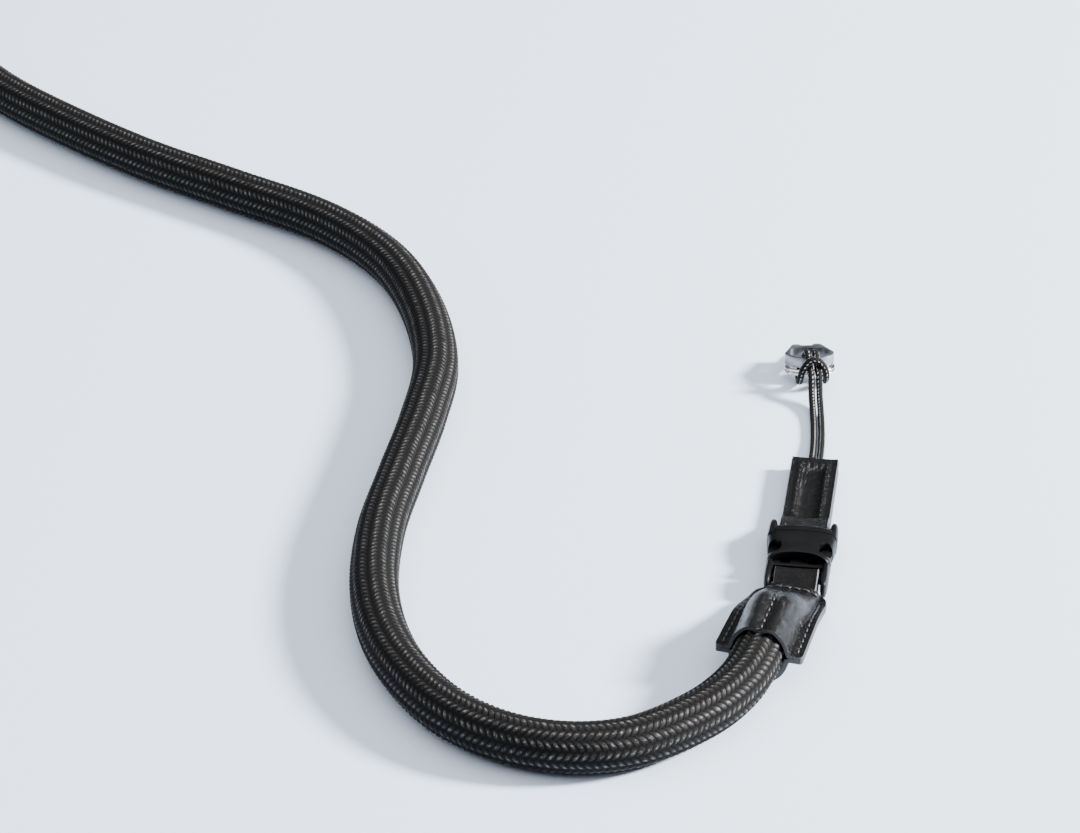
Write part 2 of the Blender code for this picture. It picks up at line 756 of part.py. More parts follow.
def strand_points(start, turn, across):
    """One strand's points from inside the tab until it rises to the bars, along the tether's arc."""
    rest = TETHER_DIAMETER / 2 + REST
    slack = tether_height() - rest
    points = [
        start @ Vector((-TETHER_INSIDE, across, tether_height())),
        start @ Vector((-TETHER_INSIDE / 2, across, tether_height())),
    ]
    for row in TETHER_ROUTE:
        at = start @ turned(row["along"] * TETHER_REACH, row["along"] * turn)
        lift = row["drop"] * slack + row["rise"] * GUARD_RAISE
        points.append(at @ Vector((0, across, rest + lift)))
    return points


def make_tether(end, start, turn, guard_frame, collection, material):
    """The thin cord: both its ends in the tab, its bight hitched round the two lower bars."""
    half = strand_points(start, turn, TETHER_SPACING / 2)
    half += [guard_frame @ Vector(point) for point in hitch_route()]
    other = strand_points(start, turn, -TETHER_SPACING / 2)
    other += [guard_frame @ Vector((x, -y, z)) for x, y, z in hitch_route()[:-1]]
    line = held_line(half + other[::-1], TETHER_STEP)
    tube(f"tether_{end}", line, TETHER_DIAMETER, 2, collection, material)


def rope_points():
    """The rope's own points, lying on the surface and lifted at each sleeve by its wall."""
    height = ROPE_DIAMETER / 2 + REST
    return [Vector((x, y, height + lift * (ROPE_LIFT - REST))) for x, y, lift in ROPE_ROUTE]


def sleeve_matrix(tip, inner):
    """The frame of a sleeve's mouth, from the rope's end point and the point before it."""
    outward = (tip - inner).normalized()
    mouth = tip - outward * (SLEEVE_SOCKET - GAP)
    heading = math.atan2(outward.y, outward.x)
    return Matrix.Translation((mouth.x, mouth.y, 0)) @ Matrix.Rotation(heading, 4, "Z")


def make_end(row, sleeve_frame, collection, helpers, materials):
    """All the fittings of one end, each in the frame that its neighbour leads to."""
    end = row["end"]
    strip_turn = math.radians(row["strip_turn"])
    tether_turn = math.radians(row["tether_turn"])
    strip_frame = sleeve_frame @ Matrix.Translation((SLEEVE_LENGTH, 0, 0))
    buckle_frame = (
        strip_frame
        @ turned(STRIP_BEND, strip_turn)
        @ Matrix.Translation((STRIP_REACH - STRIP_BEND, 0, 0))
    )
    tab_end = buckle_frame @ Matrix.Translation((TAB_END, 0, 0))
    guard_frame = (
        tab_end
        @ turned(TETHER_REACH, tether_turn)
        @ Matrix.Translation((0, 0, GUARD_RAISE))
        @ Matrix.Rotation(GUARD_PITCH, 4, "Y")
    )
    places = {
        "sleeve": sleeve_frame,
        "strip": strip_frame,
        "buckle": buckle_frame,
        "guard": guard_frame,
    }
    at = {k: frame_empty(f"{k}_frame_{end}", m, collection) for k, m in places.items()}
    make_sleeve(end, at["sleeve"], collection, helpers, materials["leather"])
    make_strip(end, at["strip"], strip_turn, collection, materials["strip"])
    make_insert(end, at["buckle"], collection, helpers, materials["plastic"])
    make_receiver(end, at["buckle"], collection, helpers, materials["plastic"])
    make_tab(end, at["buckle"], collection, helpers, materials["leather"])
    make_guard(end, at["guard"], collection, materials["guard"])
    make_ring(end, at["guard"], collection, materials["steel"])
    make_tether(end, tab_end, tether_turn, guard_frame, collection, materials["tether"])


def main():
    for old in list(bpy.data.objects):
        bpy.data.objects.remove(old)
    strap = collection_named("camera_strap")
    helpers = collection_named("cutters")
    materials = {
        "braid": material_named("black_braid", (0.020, 0.020, 0.021), 0.55, 0.0),
        "leather": material_named("black_leather", (0.014, 0.014, 0.016), 0.32, 0.0),
        "strip": material_named("matt_leather", (0.018, 0.018, 0.019), 0.55, 0.0),
        "plastic": material_named("black_plastic", (0.016, 0.017, 0.020), 0.38, 0.0),
        "tether": material_named("flecked_cord", (0.035, 0.036, 0.036), 0.45, 0.0),
        "guard": material_named("grey_guard", (0.42, 0.42, 0.46), 0.35, 0.0),
        "steel": material_named("bright_steel", (0.78, 0.78, 0.74), 0.16, 1.0),
    }
    points = rope_points()
    tube("rope", held_line(points, ROPE_STEP), ROPE_DIAMETER, 4, strap, materials["braid"])
    mouths = (sleeve_matrix(points[0], points[1]), sleeve_matrix(points[-1], points[-2]))
    for row, mouth in zip(ENDS, mouths):
        make_end(row, mouth, strap, helpers, materials)


main()
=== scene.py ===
import math
from functools import partial

import bpy
import numpy as np
from mathutils import Matrix, Vector, noise


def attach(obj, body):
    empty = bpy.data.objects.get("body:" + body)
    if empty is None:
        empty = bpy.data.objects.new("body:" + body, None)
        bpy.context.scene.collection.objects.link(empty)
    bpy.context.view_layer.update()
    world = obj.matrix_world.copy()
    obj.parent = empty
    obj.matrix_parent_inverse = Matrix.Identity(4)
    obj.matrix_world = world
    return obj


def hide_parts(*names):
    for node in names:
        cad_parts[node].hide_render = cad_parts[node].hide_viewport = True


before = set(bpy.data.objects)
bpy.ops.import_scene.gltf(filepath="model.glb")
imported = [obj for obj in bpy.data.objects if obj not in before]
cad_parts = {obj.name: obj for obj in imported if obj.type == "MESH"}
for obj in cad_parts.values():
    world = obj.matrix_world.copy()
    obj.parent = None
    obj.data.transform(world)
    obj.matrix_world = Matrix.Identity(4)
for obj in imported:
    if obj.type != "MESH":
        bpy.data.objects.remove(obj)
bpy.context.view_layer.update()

# View, surface and light
# The view is from the front and above, as far off as the photo's, on a long lens. The strap lies
# on a plain pale surface, in soft light from low on the right and a sky brightest overhead.
look_at = Vector((0.03295, -0.1071, 0.0))
look_down = math.radians(30.7)
view_distance = 0.895
sky_colour = (0.93, 0.96, 1.0)
sky_strength = (0.12, 2.6)


def new_object(name, data):
    """A new object in the scene, made of this data."""
    made = bpy.data.objects.new(name, data)
    bpy.context.scene.collection.objects.link(made)
    return made


def select_only(*pieces):
    """Selects these pieces and nothing else, and makes the first of them active."""
    bpy.ops.object.select_all(action="DESELECT")
    for piece in pieces:
        piece.select_set(True)
    if pieces:
        bpy.context.view_layer.objects.active = pieces[0]


def feed(node, inputs):
    """Gives these inputs of a node plain values or other nodes' outputs."""
    for socket, value in inputs.items():
        if isinstance(value, bpy.types.NodeSocket):
            node.id_data.links.new(value, node.inputs[socket])
        else:
            node.inputs[socket].default_value = value


def node_in(tree, kind, inputs=None, **settings):
    """A new node with these settings, and its inputs fed."""
    made = tree.nodes.new(kind)
    for name, value in settings.items():
        setattr(made, name, value)
    feed(made, inputs or {})
    return made


def range_in(tree, value, start, stop, low=0.0, high=1.0, curve="LINEAR"):
    """The output of a Map Range node, which runs from low to high as the value does."""
    inputs = {"Value": value, "From Min": start, "From Max": stop, "To Min": low, "To Max": high}
    return node_in(tree, "ShaderNodeMapRange", inputs, interpolation_type=curve).outputs[0]


def finish_material(name, roughness, metallic=0.0, **constants):
    """A material whose shader has these plain values, with its tree and shader."""
    made = bpy.data.materials.new(name)
    made.use_nodes = True
    shader = made.node_tree.nodes["Principled BSDF"]
    feed(shader, {"Roughness": roughness, "Metallic": metallic})
    feed(shader, {label.replace("_", " "): value for label, value in constants.items()})
    return made, made.node_tree, shader


def soft_lamp(name, place, aim, size, power, colour):
    """An area lamp of this size that points at a place on the surface."""
    lamp = new_object(name, bpy.data.lights.new(name, "AREA"))
    lamp.data.shape = "DISK"
    lamp.data.size = size
    lamp.data.energy = power
    lamp.data.color = colour
    lamp.location = place
    lamp.rotation_euler = (Vector(aim) - Vector(place)).to_track_quat("-Z", "Y").to_euler()


backward = Vector((0.0, -math.cos(look_down), math.sin(look_down)))
view_camera = new_object("view_camera", bpy.data.cameras.new("view_camera"))
view_camera.location = look_at + backward * view_distance
view_camera.rotation_euler = (-backward).to_track_quat("-Z", "Y").to_euler()
view_camera.data.lens = 140
view_camera.data.sensor_width = 36
view_camera.data.clip_start = 0.02
bpy.context.scene.camera = view_camera

select_only()
bpy.ops.mesh.primitive_plane_add(size=4.0)
surface = bpy.context.object
surface.name = "pale_surface"
pale_paint = finish_material("pale_paint", 0.62, Base_Color=(0.70, 0.79, 0.93, 1.0))[0]
surface.data.materials.append(pale_paint)

soft_lamp("key_lamp", (1.476, -0.12, 0.775), (0.02, -0.08, 0.0), 0.30, 150.0, (1.0, 0.99, 0.975))
soft_lamp("side_lamp", (-1.5, -0.2, 0.7), (0.0, -0.05, 0.0), 0.5, 6.0, sky_colour)
room = bpy.data.worlds.new("room")
room.use_nodes = True
sky = room.node_tree
sky_place = sky.nodes.new("ShaderNodeTexCoord").outputs["Generated"]
above = node_in(sky, "ShaderNodeSeparateXYZ", {0: sky_place}).outputs["Z"]
overhead = range_in(sky, above, 0.45, 0.95, *sky_strength, curve="SMOOTHSTEP")
feed(sky.nodes["Background"], {"Strength": overhead, "Color": (*sky_colour, 1.0)})
bpy.context.scene.world = room

# Rope
# Ten millimetres thick, braided from black polyester yarn over a soft core. The yarns lean one
# way and the other in turn, in columns that run along the rope. Its ends are sewn into sleeves.
rope_diameter = 0.010
rope_columns = 14
rope_yarn = 0.00132
rope_yarn_lean = 0.0014
rope_dips = (0.00028, 0.00038)
sleeve_wall = 0.0013
touch_gap = 0.0003
off_surface = 0.0001
# Each point's x and y, and the share of the sleeve leather's thickness that lifts the rope there.
rope_route = (
    (0.0782, -0.1963, 1.00),
    (0.0748, -0.2075, 1.00),
    (0.0705, -0.2170, 0.45),
    (0.0628, -0.2261, 0.12),
    (0.0504, -0.2344, 0.02),
    (0.0370, -0.2361, 0.00),
    (0.0238, -0.2315, 0.00),
    (0.0128, -0.2210, 0.00),
    (0.0043, -0.2040, 0.00),
    (0.0004, -0.1840, 0.00),
    (0.0008, -0.1615, 0.00),
    (0.0043, -0.1395, 0.00),
    (0.0083, -0.1165, 0.00),
    (0.0105, -0.0936, 0.00),
    (0.0068, -0.0685, 0.00),
    (-0.0017, -0.0465, 0.00),
    (-0.0167, -0.0283, 0.00),
    (-0.0383, -0.0126, 0.00),
    (-0.0607, 0.0036, 0.00),
    (-0.0834, 0.0240, 0.00),
    (-0.0987, 0.0405, 0.00),
    (-0.1097, 0.0580, 0.00),
    (-0.1162, 0.0790, 0.00),
    (-0.1142, 0.1010, 0.00),
    (-0.1022, 0.1185, 0.00),
    (-0.0827, 0.1285, 0.00),
    (-0.0607, 0.1315, 0.00),
    (-0.0367, 0.1310, 0.00),
    (-0.0127, 0.1305, 0.00),
    (0.0113, 0.1310, 0.00),
    (0.0353, 0.1340, 0.00),
    (0.0553, 0.1420, 0.00),
    (0.0678, 0.1570, 0.00),
    (0.0703, 0.1755, 0.02),
    (0.0613, 0.1915, 0.12),
    (0.0453, 0.1990, 0.45),
    (0.0323, 0.1995, 1.00),
    (0.0203, 0.1995, 1.00),
)


def steps_of(line):
    """The lengths of the steps along a line of points."""
    return np.linalg.norm(np.diff(line, axis=0), axis=1)


def spaced(line, step):
    """Points at equal steps along a line of points."""
    line = np.array(line)
    run = np.concatenate([[0.0], np.cumsum(steps_of(line))])
    places = np.linspace(0.0, run[-1], round(run[-1] / step) + 1)
    return np.column_stack([np.interp(places, run, values) for values in line.T])


def smooth_line(points, step):
    """Points at equal steps along a smooth curve through all the points but the first and last.

    The first and last are joined to it by straight stretches, and steer its ends.
    """
    points = [np.array(point) for point in points]
    fine = []
    for a, b, c, d in zip(points, points[1:], points[2:], points[3:]):
        for k in range(48):
            t = k / 48
            flat = 2 * b + (c - a) * t + (2 * a - 5 * b + 4 * c - d) * t**2
            fine.append(0.5 * (flat + (3 * b - a - 3 * c + d) * t**3))
    return spaced([points[0], *fine, points[-2], points[-1]], step)


def braided_cord(name, line, diameter, columns, yarn_lean, dips):
    """A tube whose rows of faces follow the yarns of a braid, with a dip where a yarn goes under.

    line has a point for each quarter of a yarn's width. The UV map counts columns across and
    yarns along, so that a line of equal height on it is the way that a yarn runs.
    """
    ahead = np.gradient(line, axis=0)
    ahead /= np.linalg.norm(ahead, axis=1)[:, None]
    side = np.empty_like(ahead)
    side[0] = np.cross(ahead[0], (0.0, 0.0, 1.0))
    for n in range(1, len(line)):
        side[n] = side[n - 1] - ahead[n] * np.dot(side[n - 1], ahead[n])
        side[n] /= np.linalg.norm(side[n])
    upward = np.cross(side, ahead)
    rows, across = len(line), 3 * columns
    row, k = np.arange(rows)[:, None], np.arange(across)
    even, share = k // 3 % 2 == 0, (k % 3) / 3
    lean = np.where(even, share - 0.5, 0.5 - share) * yarn_lean
    phase = (row + np.where(even, 0, 2)) % 4
    low = np.select([phase == 0, phase == 2], [dips[0], 0.0], dips[0] * 0.16)
    radius = diameter / 2 - np.where(k % 3 == 0, dips[1], low)
    turn = 2 * np.pi * k / across
    points = line[:, None] + ahead[:, None] * lean[:, None]
    points = points + side[:, None] * (radius * np.cos(turn))[..., None]
    points = points + upward[:, None] * (radius * np.sin(turn))[..., None]
    first, right = row[:-1] * across + k, row[:-1] * across + (k + 1) % across
    quads = np.stack([first, right, right + across, first + across], axis=2)
    mesh = bpy.data.meshes.new(name)
    mesh.from_pydata(points.reshape(-1, 3).tolist(), [], quads.reshape(-1, 4).tolist())
    pairs = np.empty((rows - 1, across, 4, 2))
    pairs[..., 0] = np.stack([k, k + 1, k + 1, k], axis=1) / 3
    pairs[..., 1] = (row[:-1, None] + np.array([0, 0, 1, 1])) / 4
    mesh.uv_layers.new(name="yarns").data.foreach_set("uv", pairs.reshape(-1))
    mesh.shade_smooth()
    return new_object(name, mesh)


def sum_in(tree, operation, *values, clamp=False):
    """The output of a Math node."""
    inputs = dict(enumerate(values))
    return node_in(tree, "ShaderNodeMath", inputs, operation=operation, use_clamp=clamp).outputs[0]


def blend_in(tree, share, first, second):
    """The output of a colour Mix node."""
    inputs = {0: share, 6: first, 7: second}
    return node_in(tree, "ShaderNodeMix", inputs, data_type="RGBA").outputs[2]


def noise_in(tree, place, scale, detail):
    """The height of a noise texture at a place."""
    inputs = {"Vector": place, "Scale": scale, "Detail": detail}
    return node_in(tree, "ShaderNodeTexNoise", inputs).outputs[0]


def raise_by(shader, height, relief):
    """Gives a shader's surface a relief of this many metres."""
    inputs = {"Height": height, "Distance": relief, "Strength": 1.0}
    feed(shader, {"Normal": node_in(shader.id_data, "ShaderNodeBump", inputs).outputs[0]})


def effect_group(name, inputs, outputs):
    """An empty node group with these sockets, the values it is given, and its output node."""
    tree = bpy.data.node_groups.new(name, "ShaderNodeTree")
    for in_out, sockets in (("INPUT", inputs), ("OUTPUT", outputs)):
        for label, kind in sockets.items():
            tree.interface.new_socket(name=label, in_out=in_out, socket_type="NodeSocket" + kind)
    return tree, tree.nodes.new("NodeGroupInput").outputs, tree.nodes.new("NodeGroupOutput")


# The yarns' colour carries painted light: glints on the fibres at each yarn's middle, and shade in the
# grooves.
yarn_effect, given, made_of = effect_group(
    "yarn_fibres_and_painted_light",
    dict.fromkeys(("Dark", "Light", "Tint"), "Color")
    | dict.fromkeys(("Painted Glint Share", "Fibres", "Fleck"), "Float"),
    {"Color": "Color", "Roughness": "Float", "Height": "Float"},
)
yarn_sum = partial(sum_in, yarn_effect)
yarn_blend = partial(blend_in, yarn_effect)


def chance_of(first, second):
    """A chance value for each yarn, from its column and its number along it in either order."""
    place = node_in(yarn_effect, "ShaderNodeCombineXYZ", {0: first, 1: second}).outputs[0]
    return node_in(yarn_effect, "ShaderNodeTexWhiteNoise", {0: place}, noise_dimensions="2D").outputs[0]


def off_middle(place):
    """How far a place is from the middle of its column or yarn: 0 there, and 1 at its edges."""
    return yarn_sum("ABSOLUTE", yarn_sum("MULTIPLY_ADD", yarn_sum("FRACT", place), 2.0, -1.0))


yarn_map = node_in(yarn_effect, "ShaderNodeUVMap", uv_map="yarns").outputs[0]
columns_across, yarns_along = node_in(yarn_effect, "ShaderNodeSeparateXYZ", {0: yarn_map}).outputs[:2]
column = yarn_sum("FLOOR", columns_across)
odd_column = yarn_sum("MODULO", column, 2.0)
yarns_along = yarn_sum("ADD", yarns_along, yarn_sum("MULTIPLY", odd_column, 0.5))
yarn = yarn_sum("FLOOR", yarns_along)
chance = chance_of(column, yarn)
# Fibres are long streaks of noise that start anew in each yarn.
inputs = {
    0: yarn_sum("MULTIPLY", columns_across, 6.0),
    1: yarn_sum("MULTIPLY", yarns_along, given["Fibres"]),
    2: yarn_sum("MULTIPLY", chance, 40.0),
}
fibre_place = node_in(yarn_effect, "ShaderNodeCombineXYZ", inputs).outputs[0]
fibre = noise_in(yarn_effect, fibre_place, 1.0, 2.0)
# A yarn is open to the light at its middle, with painted shade where it dives under its neighbours.
groove = off_middle(yarns_along)
dive = off_middle(columns_across)
yarn_open = yarn_sum("SUBTRACT", 1.0, yarn_sum("POWER", groove, 1.7))
open_share = yarn_sum("MULTIPLY", yarn_open, yarn_sum("SUBTRACT", 1.0, dive))
# The Light colour on the fibres at a yarn's middle is a painted glint.
glint_streaks = yarn_sum("MULTIPLY_ADD", fibre, 0.90, yarn_sum("MULTIPLY", chance, 0.08))
lit = range_in(yarn_effect, glint_streaks, yarn_sum("SUBTRACT", 0.80, given["Painted Glint Share"]), 0.80)
lit = yarn_sum("MULTIPLY", lit, yarn_sum("POWER", open_share, 2.0), clamp=True)
tinted = yarn_sum("POWER", chance_of(yarn, column), 3.0)
shade = yarn_blend(lit, yarn_blend(tinted, given["Dark"], given["Tint"]), given["Light"])
# Near black towards a yarn's edges and grooves is painted shade.
shade = yarn_blend(open_share, (0.0015, 0.0015, 0.0016, 1.0), shade)
fleck = yarn_sum("LESS_THAN", yarn_sum("MAXIMUM", groove, dive), 0.46)
fleck = yarn_sum("MULTIPLY", odd_column, fleck)
fleck_light = yarn_sum("MULTIPLY", yarn_sum("MULTIPLY_ADD", chance, 0.6, 0.4), given["Fleck"])
shade = yarn_blend(yarn_sum("MULTIPLY", fleck, fleck_light), shade, given["Light"])
rough = yarn_sum("MULTIPLY_ADD", open_share, -0.45, 0.92)
round_yarn = yarn_sum("MULTIPLY", yarn_sum("POWER", groove, 2.0), -0.6)
height = yarn_sum("MULTIPLY_ADD", fibre, 0.3, round_yarn)
feed(made_of, {"Color": shade, "Roughness": rough, "Height": height})


def yarn_material(name, yarns, relief, **constants):
    """A braid's material: what its yarns are like, and the relief of their fibres in metres."""
    made, tree, shader = finish_material(name, 0.5, **constants)
    group = node_in(tree, "ShaderNodeGroup", yarns, node_tree=yarn_effect).outputs
    feed(shader, {"Base Color": group["Color"], "Roughness": group["Roughness"]})
    raise_by(shader, group["Height"], relief)
    return made


rope_low = rope_diameter / 2 + off_surface
rope_lift = sleeve_wall + touch_gap - off_surface
rope_points = [(x, y, rope_low + rope_lift * lift) for x, y, lift in rope_route]
rope_line = smooth_line(rope_points, rope_yarn / 4)
rope_sizes = (rope_diameter, rope_columns, rope_yarn_lean, rope_dips)
rope = braided_cord("rope_braid", rope_line, *rope_sizes)
# The rope's Light colour is a painted glint on its black yarns.
black_yarns = {
    "Dark": (0.0026, 0.0026, 0.0029, 1.0),
    "Light": (0.33, 0.323, 0.317, 1.0),
    "Tint": (0.0110, 0.0080, 0.0068, 1.0),
    "Painted Glint Share": 0.38,
    "Fibres": 6.0,
    "Fleck": 0.0,
}
black_polyester = yarn_material("black_polyester", black_yarns, 0.00026, Specular_IOR_Level=0.16)
rope.data.materials.append(black_polyester)
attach(rope, "root")
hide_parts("rope")

# Tethers
# Each is one thin black cord with grey flecks, doubled. Both its ends are sewn into the leather
# tab, and its middle is hitched round the guard and the ring. It lies in a slight curve.
# From here on, sizes are in millimetres.
mm = 0.001
tether_diameter = 1.5
tether_spacing = 1.7
tether_inside = 6.0
tether_reach = 36.0
tether_columns = 8
tether_yarn = 0.90
tether_yarn_lean = 0.5
tether_dips = (0.05, 0.07)
sleeve_length = 28.0
rope_inside = 12.0
strip_bend = 3.0
strip_reach = 9.0
tab_end = 42.8
tab_middle = 1.66
ring_thickness = 1.5
ring_length = 13.4
guard_thickness = 2.2
guard_bar = 1.1
guard_raise = 2.1
# A strand from the tab to the bars: its place on the way, how much of its height in the tab it
# keeps, and how much of the guard's raise it has reached.
tether_route = (
    (0.03, 1.00, 0.00),
    (0.15, 0.50, 0.00),
    (0.30, 0.04, 0.00),
    (0.46, 0.00, 0.00),
    (0.62, 0.00, 0.14),
    (0.75, 0.00, 0.85),
)


def turned(length, turn):
    """The frame at the end of an arc of this many millimetres that turns left by this angle."""
    radius = length / turn
    end = Vector((radius * math.sin(turn), radius * (1 - math.cos(turn)), 0)) * mm
    return Matrix.Translation(end) @ Matrix.Rotation(turn, 4, "Z")


def outward_by(length):
    """A step of this many millimetres away from the rope."""
    return Matrix.Translation((length * mm, 0, 0))


def end_frames(tip, inner, strip_turn, tether_turn):
    """The frame of each fitting of one end, +X outward, from the rope's last two points.

    Its strip and its tether turn to the left by these angles, which are kept with the frames.
    """
    strip_turn = math.radians(strip_turn)
    tether_turn = math.radians(tether_turn)
    heading = math.atan2(tip[1] - inner[1], tip[0] - inner[0])
    reach = rope_inside * mm - touch_gap
    mouth = (tip[0] - reach * math.cos(heading), tip[1] - reach * math.sin(heading), 0)
    sleeve = Matrix.Translation(mouth) @ Matrix.Rotation(heading, 4, "Z")
    strip = sleeve @ outward_by(sleeve_length)
    buckle = strip @ turned(strip_bend, strip_turn) @ outward_by(strip_reach - strip_bend)
    tab = buckle @ outward_by(tab_end)
    raised = Matrix.Translation((0, 0, guard_raise * mm))
    pitched = Matrix.Rotation(math.asin(guard_raise / ring_length), 4, "Y")
    return {
        "sleeve": sleeve,
        "strip": strip,
        "strip_turn": strip_turn,
        "buckle": buckle,
        "tab": tab,
        "tether_turn": tether_turn,
        "guard": tab @ turned(tether_reach, tether_turn) @ raised @ pitched,
    }


def hitch_points():
    """One half of the hitch in the guard's frame, from the strand to the middle of its bight."""
    gap = touch_gap / mm
    radius = tether_diameter / 2
    top = ring_thickness + gap + guard_thickness + gap + radius
    under = -gap - radius
    near = -gap - radius
    far = ring_thickness + gap + radius
    strand = tether_spacing / 2
    side = strand + tether_diameter + gap
    back = near - 2 * tether_diameter
    return (
        (back - 2.2, strand, top - 2.8),
        (back, strand, top - 2.2),
        (near - 0.7, strand, top - 0.8),
        (guard_bar / 2, strand + 0.1, top + 0.1),
        (far, strand + 0.4, top - 1.6),
        (far + 0.2, strand + 0.9, top / 2 - 0.3),
        (far - 0.3, side - 0.2, under + 0.6),
        (guard_bar / 2, side, under),
        (near - 0.4, side + 0.1, under + 0.5),
        (back + 0.6, side + 0.1, under + 2.2),
        (back - 0.1, side - 0.3, top / 2 + 0.6),
        (back - 0.2, strand + 0.3, top - 0.2),
        (back - 0.2, 0.0, top + 0.2),
    )


def strand_points(at, across):
    """One strand's points from inside the tab until it rises to the bars."""
    rest = tether_diameter / 2 + off_surface / mm
    points = [
        at["tab"] @ (Vector((-tether_inside, across, tab_middle)) * mm),
        at["tab"] @ (Vector((-tether_inside / 2, across, tab_middle)) * mm),
    ]
    for along, drop, rise in tether_route:
        place = at["tab"] @ turned(along * tether_reach, along * at["tether_turn"])
        lift = drop * (tab_middle - rest) + rise * guard_raise
        points.append(place @ (Vector((0, across, rest + lift)) * mm))
    return points


def tether_points(at):
    """Out along one strand, round the bars and the bight, and back along the other strand."""
    hitch = hitch_points()
    there = strand_points(at, tether_spacing / 2)
    there += [at["guard"] @ (Vector(point) * mm) for point in hitch]
    back = strand_points(at, -tether_spacing / 2)
    back += [at["guard"] @ (Vector((x, -y, z)) * mm) for x, y, z in hitch[:-1]]
    return there + back[::-1]


strap_ends = {
    "a": end_frames(rope_points[0], rope_points[1], strip_turn=9.0, tether_turn=12.0),
    "b": end_frames(rope_points[-1], rope_points[-2], strip_turn=-5.0, tether_turn=8.0),
}
# The tether's Light colour is its grey flecks, and on a small share of fibres a painted glint.
flecked_yarns = {
    "Dark": (0.005, 0.005, 0.006, 1.0),
    "Light": (0.38, 0.38, 0.37, 1.0),
    "Tint": (0.014, 0.014, 0.014, 1.0),
    "Painted Glint Share": 0.06,
    "Fibres": 5.0,
    "Fleck": 0.9,
}
flecked_cord = yarn_material("flecked_cord", flecked_yarns, 0.00004, Specular_IOR_Level=0.15)
for end, at in strap_ends.items():
    line = smooth_line(tether_points(at), tether_yarn * mm / 4)
    dips = [dip * mm for dip in tether_dips]
    sizes = (tether_diameter * mm, tether_columns, tether_yarn_lean * mm, dips)
    tether = braided_cord(f"tether_braid_{end}", line, *sizes)
    tether.data.materials.append(flecked_cord)
    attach(tether, "root")
    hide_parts(f"tether_{end}")

# Sleeves
# Each is two faces of glazed black leather, sewn together at flat flanges over the rope's end.
# A third row of stitches down the middle pulls the top into two lobes. The cut edges are painted.
sleeve_wall_top = 0.72
sleeve_wall_under = 1.0
sleeve_stitch = 1.9
sleeve_margin = 1.25
sleeve_rim = 0.22
first_hole = 1.3
middle_seam_end = 19.6
tip_seam = 26.6
thread_radius = 0.21
# The share of the grid's half width at which the flange begins.
flange_start = 0.72
sleeve_columns = ("x", "half", "hump", "middle", "crest", "square", "lobes")
sleeve_table = np.array(
    [
        (-2.0, 8.70, 5.92, 6.60, 5.64, 2.1, 1.00),
        (3.0, 8.60, 6.00, 6.60, 5.82, 2.1, 1.00),
        (12.6, 8.35, 6.10, 6.60, 6.12, 2.2, 1.00),
        (16.0, 8.10, 6.20, 5.80, 5.50, 2.4, 0.95),
        (20.0, 7.80, 6.00, 4.45, 4.20, 2.8, 0.60),
        (23.5, 7.58, 5.75, 3.30, 3.05, 3.3, 0.15),
        (26.3, 7.45, 5.55, 2.75, 2.50, 3.8, 0.00),
        (30.0, 7.30, 5.50, 2.64, 2.40, 4.0, 0.00),
    ]
)


def sleeve_at(x):
    """The table's values at x, read between its rows and rounded over a short stretch."""
    places = x + np.linspace(-1.3, 1.3, 9)
    values = [np.interp(places, sleeve_table[:, 0], column).mean() for column in sleeve_table.T]
    return dict(zip(sleeve_columns, values))


def sleeve_edge(x):
    """The flange's half width, rounded off at the tip and a little at the mouth."""
    tip = min(max((x - 24.2) / 3.8, 0.0), 1.0)
    mouth = min(max((0.8 - x) / 0.8, 0.0), 1.0)
    return sleeve_at(x)["half"] - 2.6 * (1 - math.sqrt(1 - tip**2.4)) - 0.35 * mouth**2


def soft_max(a, b, blend):
    """The larger of two values, with the corner between them rounded."""
    return 0.5 * (a + b + math.sqrt((a - b) ** 2 + blend**2))


def seam_dip(off_row, stitches_along):
    """How deep a row of stitches pulls the leather in: most of all at the stitch holes."""
    hole = abs(math.cos(math.pi * stitches_along)) ** 5
    return math.exp(-((off_row / 0.55) ** 2)) * (0.12 + 0.20 * hole)


def creases(x, y, seed):
    """Slight unevenness of soft leather, in millimetres."""
    broad = noise.noise(Vector((x * 0.16, y * 0.20, seed)))
    fine = noise.noise(Vector((x * 0.55, y * 0.75, seed + 9.0)))
    return 0.16 * broad + 0.05 * fine


def sleeve_top(x, y):
    """The height of the upper leather's outer face, in millimetres, before the stitching."""
    at = sleeve_at(x)
    share = min(abs(y) / at["hump"], 1.0)
    hump = at["middle"] + at["crest"] * (1 - share ** at["square"]) ** 0.5
    lobes = 0.32 * math.exp(-(((abs(y) - 2.9) / 1.5) ** 2)) - 0.55 * math.exp(-((y / 1.15) ** 2))
    flange = at["middle"] + sleeve_wall_top
    lip = 0.28 * math.exp(-((x / 0.8) ** 2)) * (share < 1.0)
    return soft_max(hump + lobes * at["lobes"], flange, 0.7) + lip


def sleeve_under(x, y):
    """The height of the lower leather's outer face, in millimetres."""
    at = sleeve_at(x)
    share = min(abs(y) / at["hump"], 1.0)
    bowl = at["middle"] * (1 - (1 - share ** (at["square"] - 0.2)) ** 0.5)
    return soft_max(-soft_max(-bowl, sleeve_wall_top - at["middle"], 0.7), 0.03, 0.05)


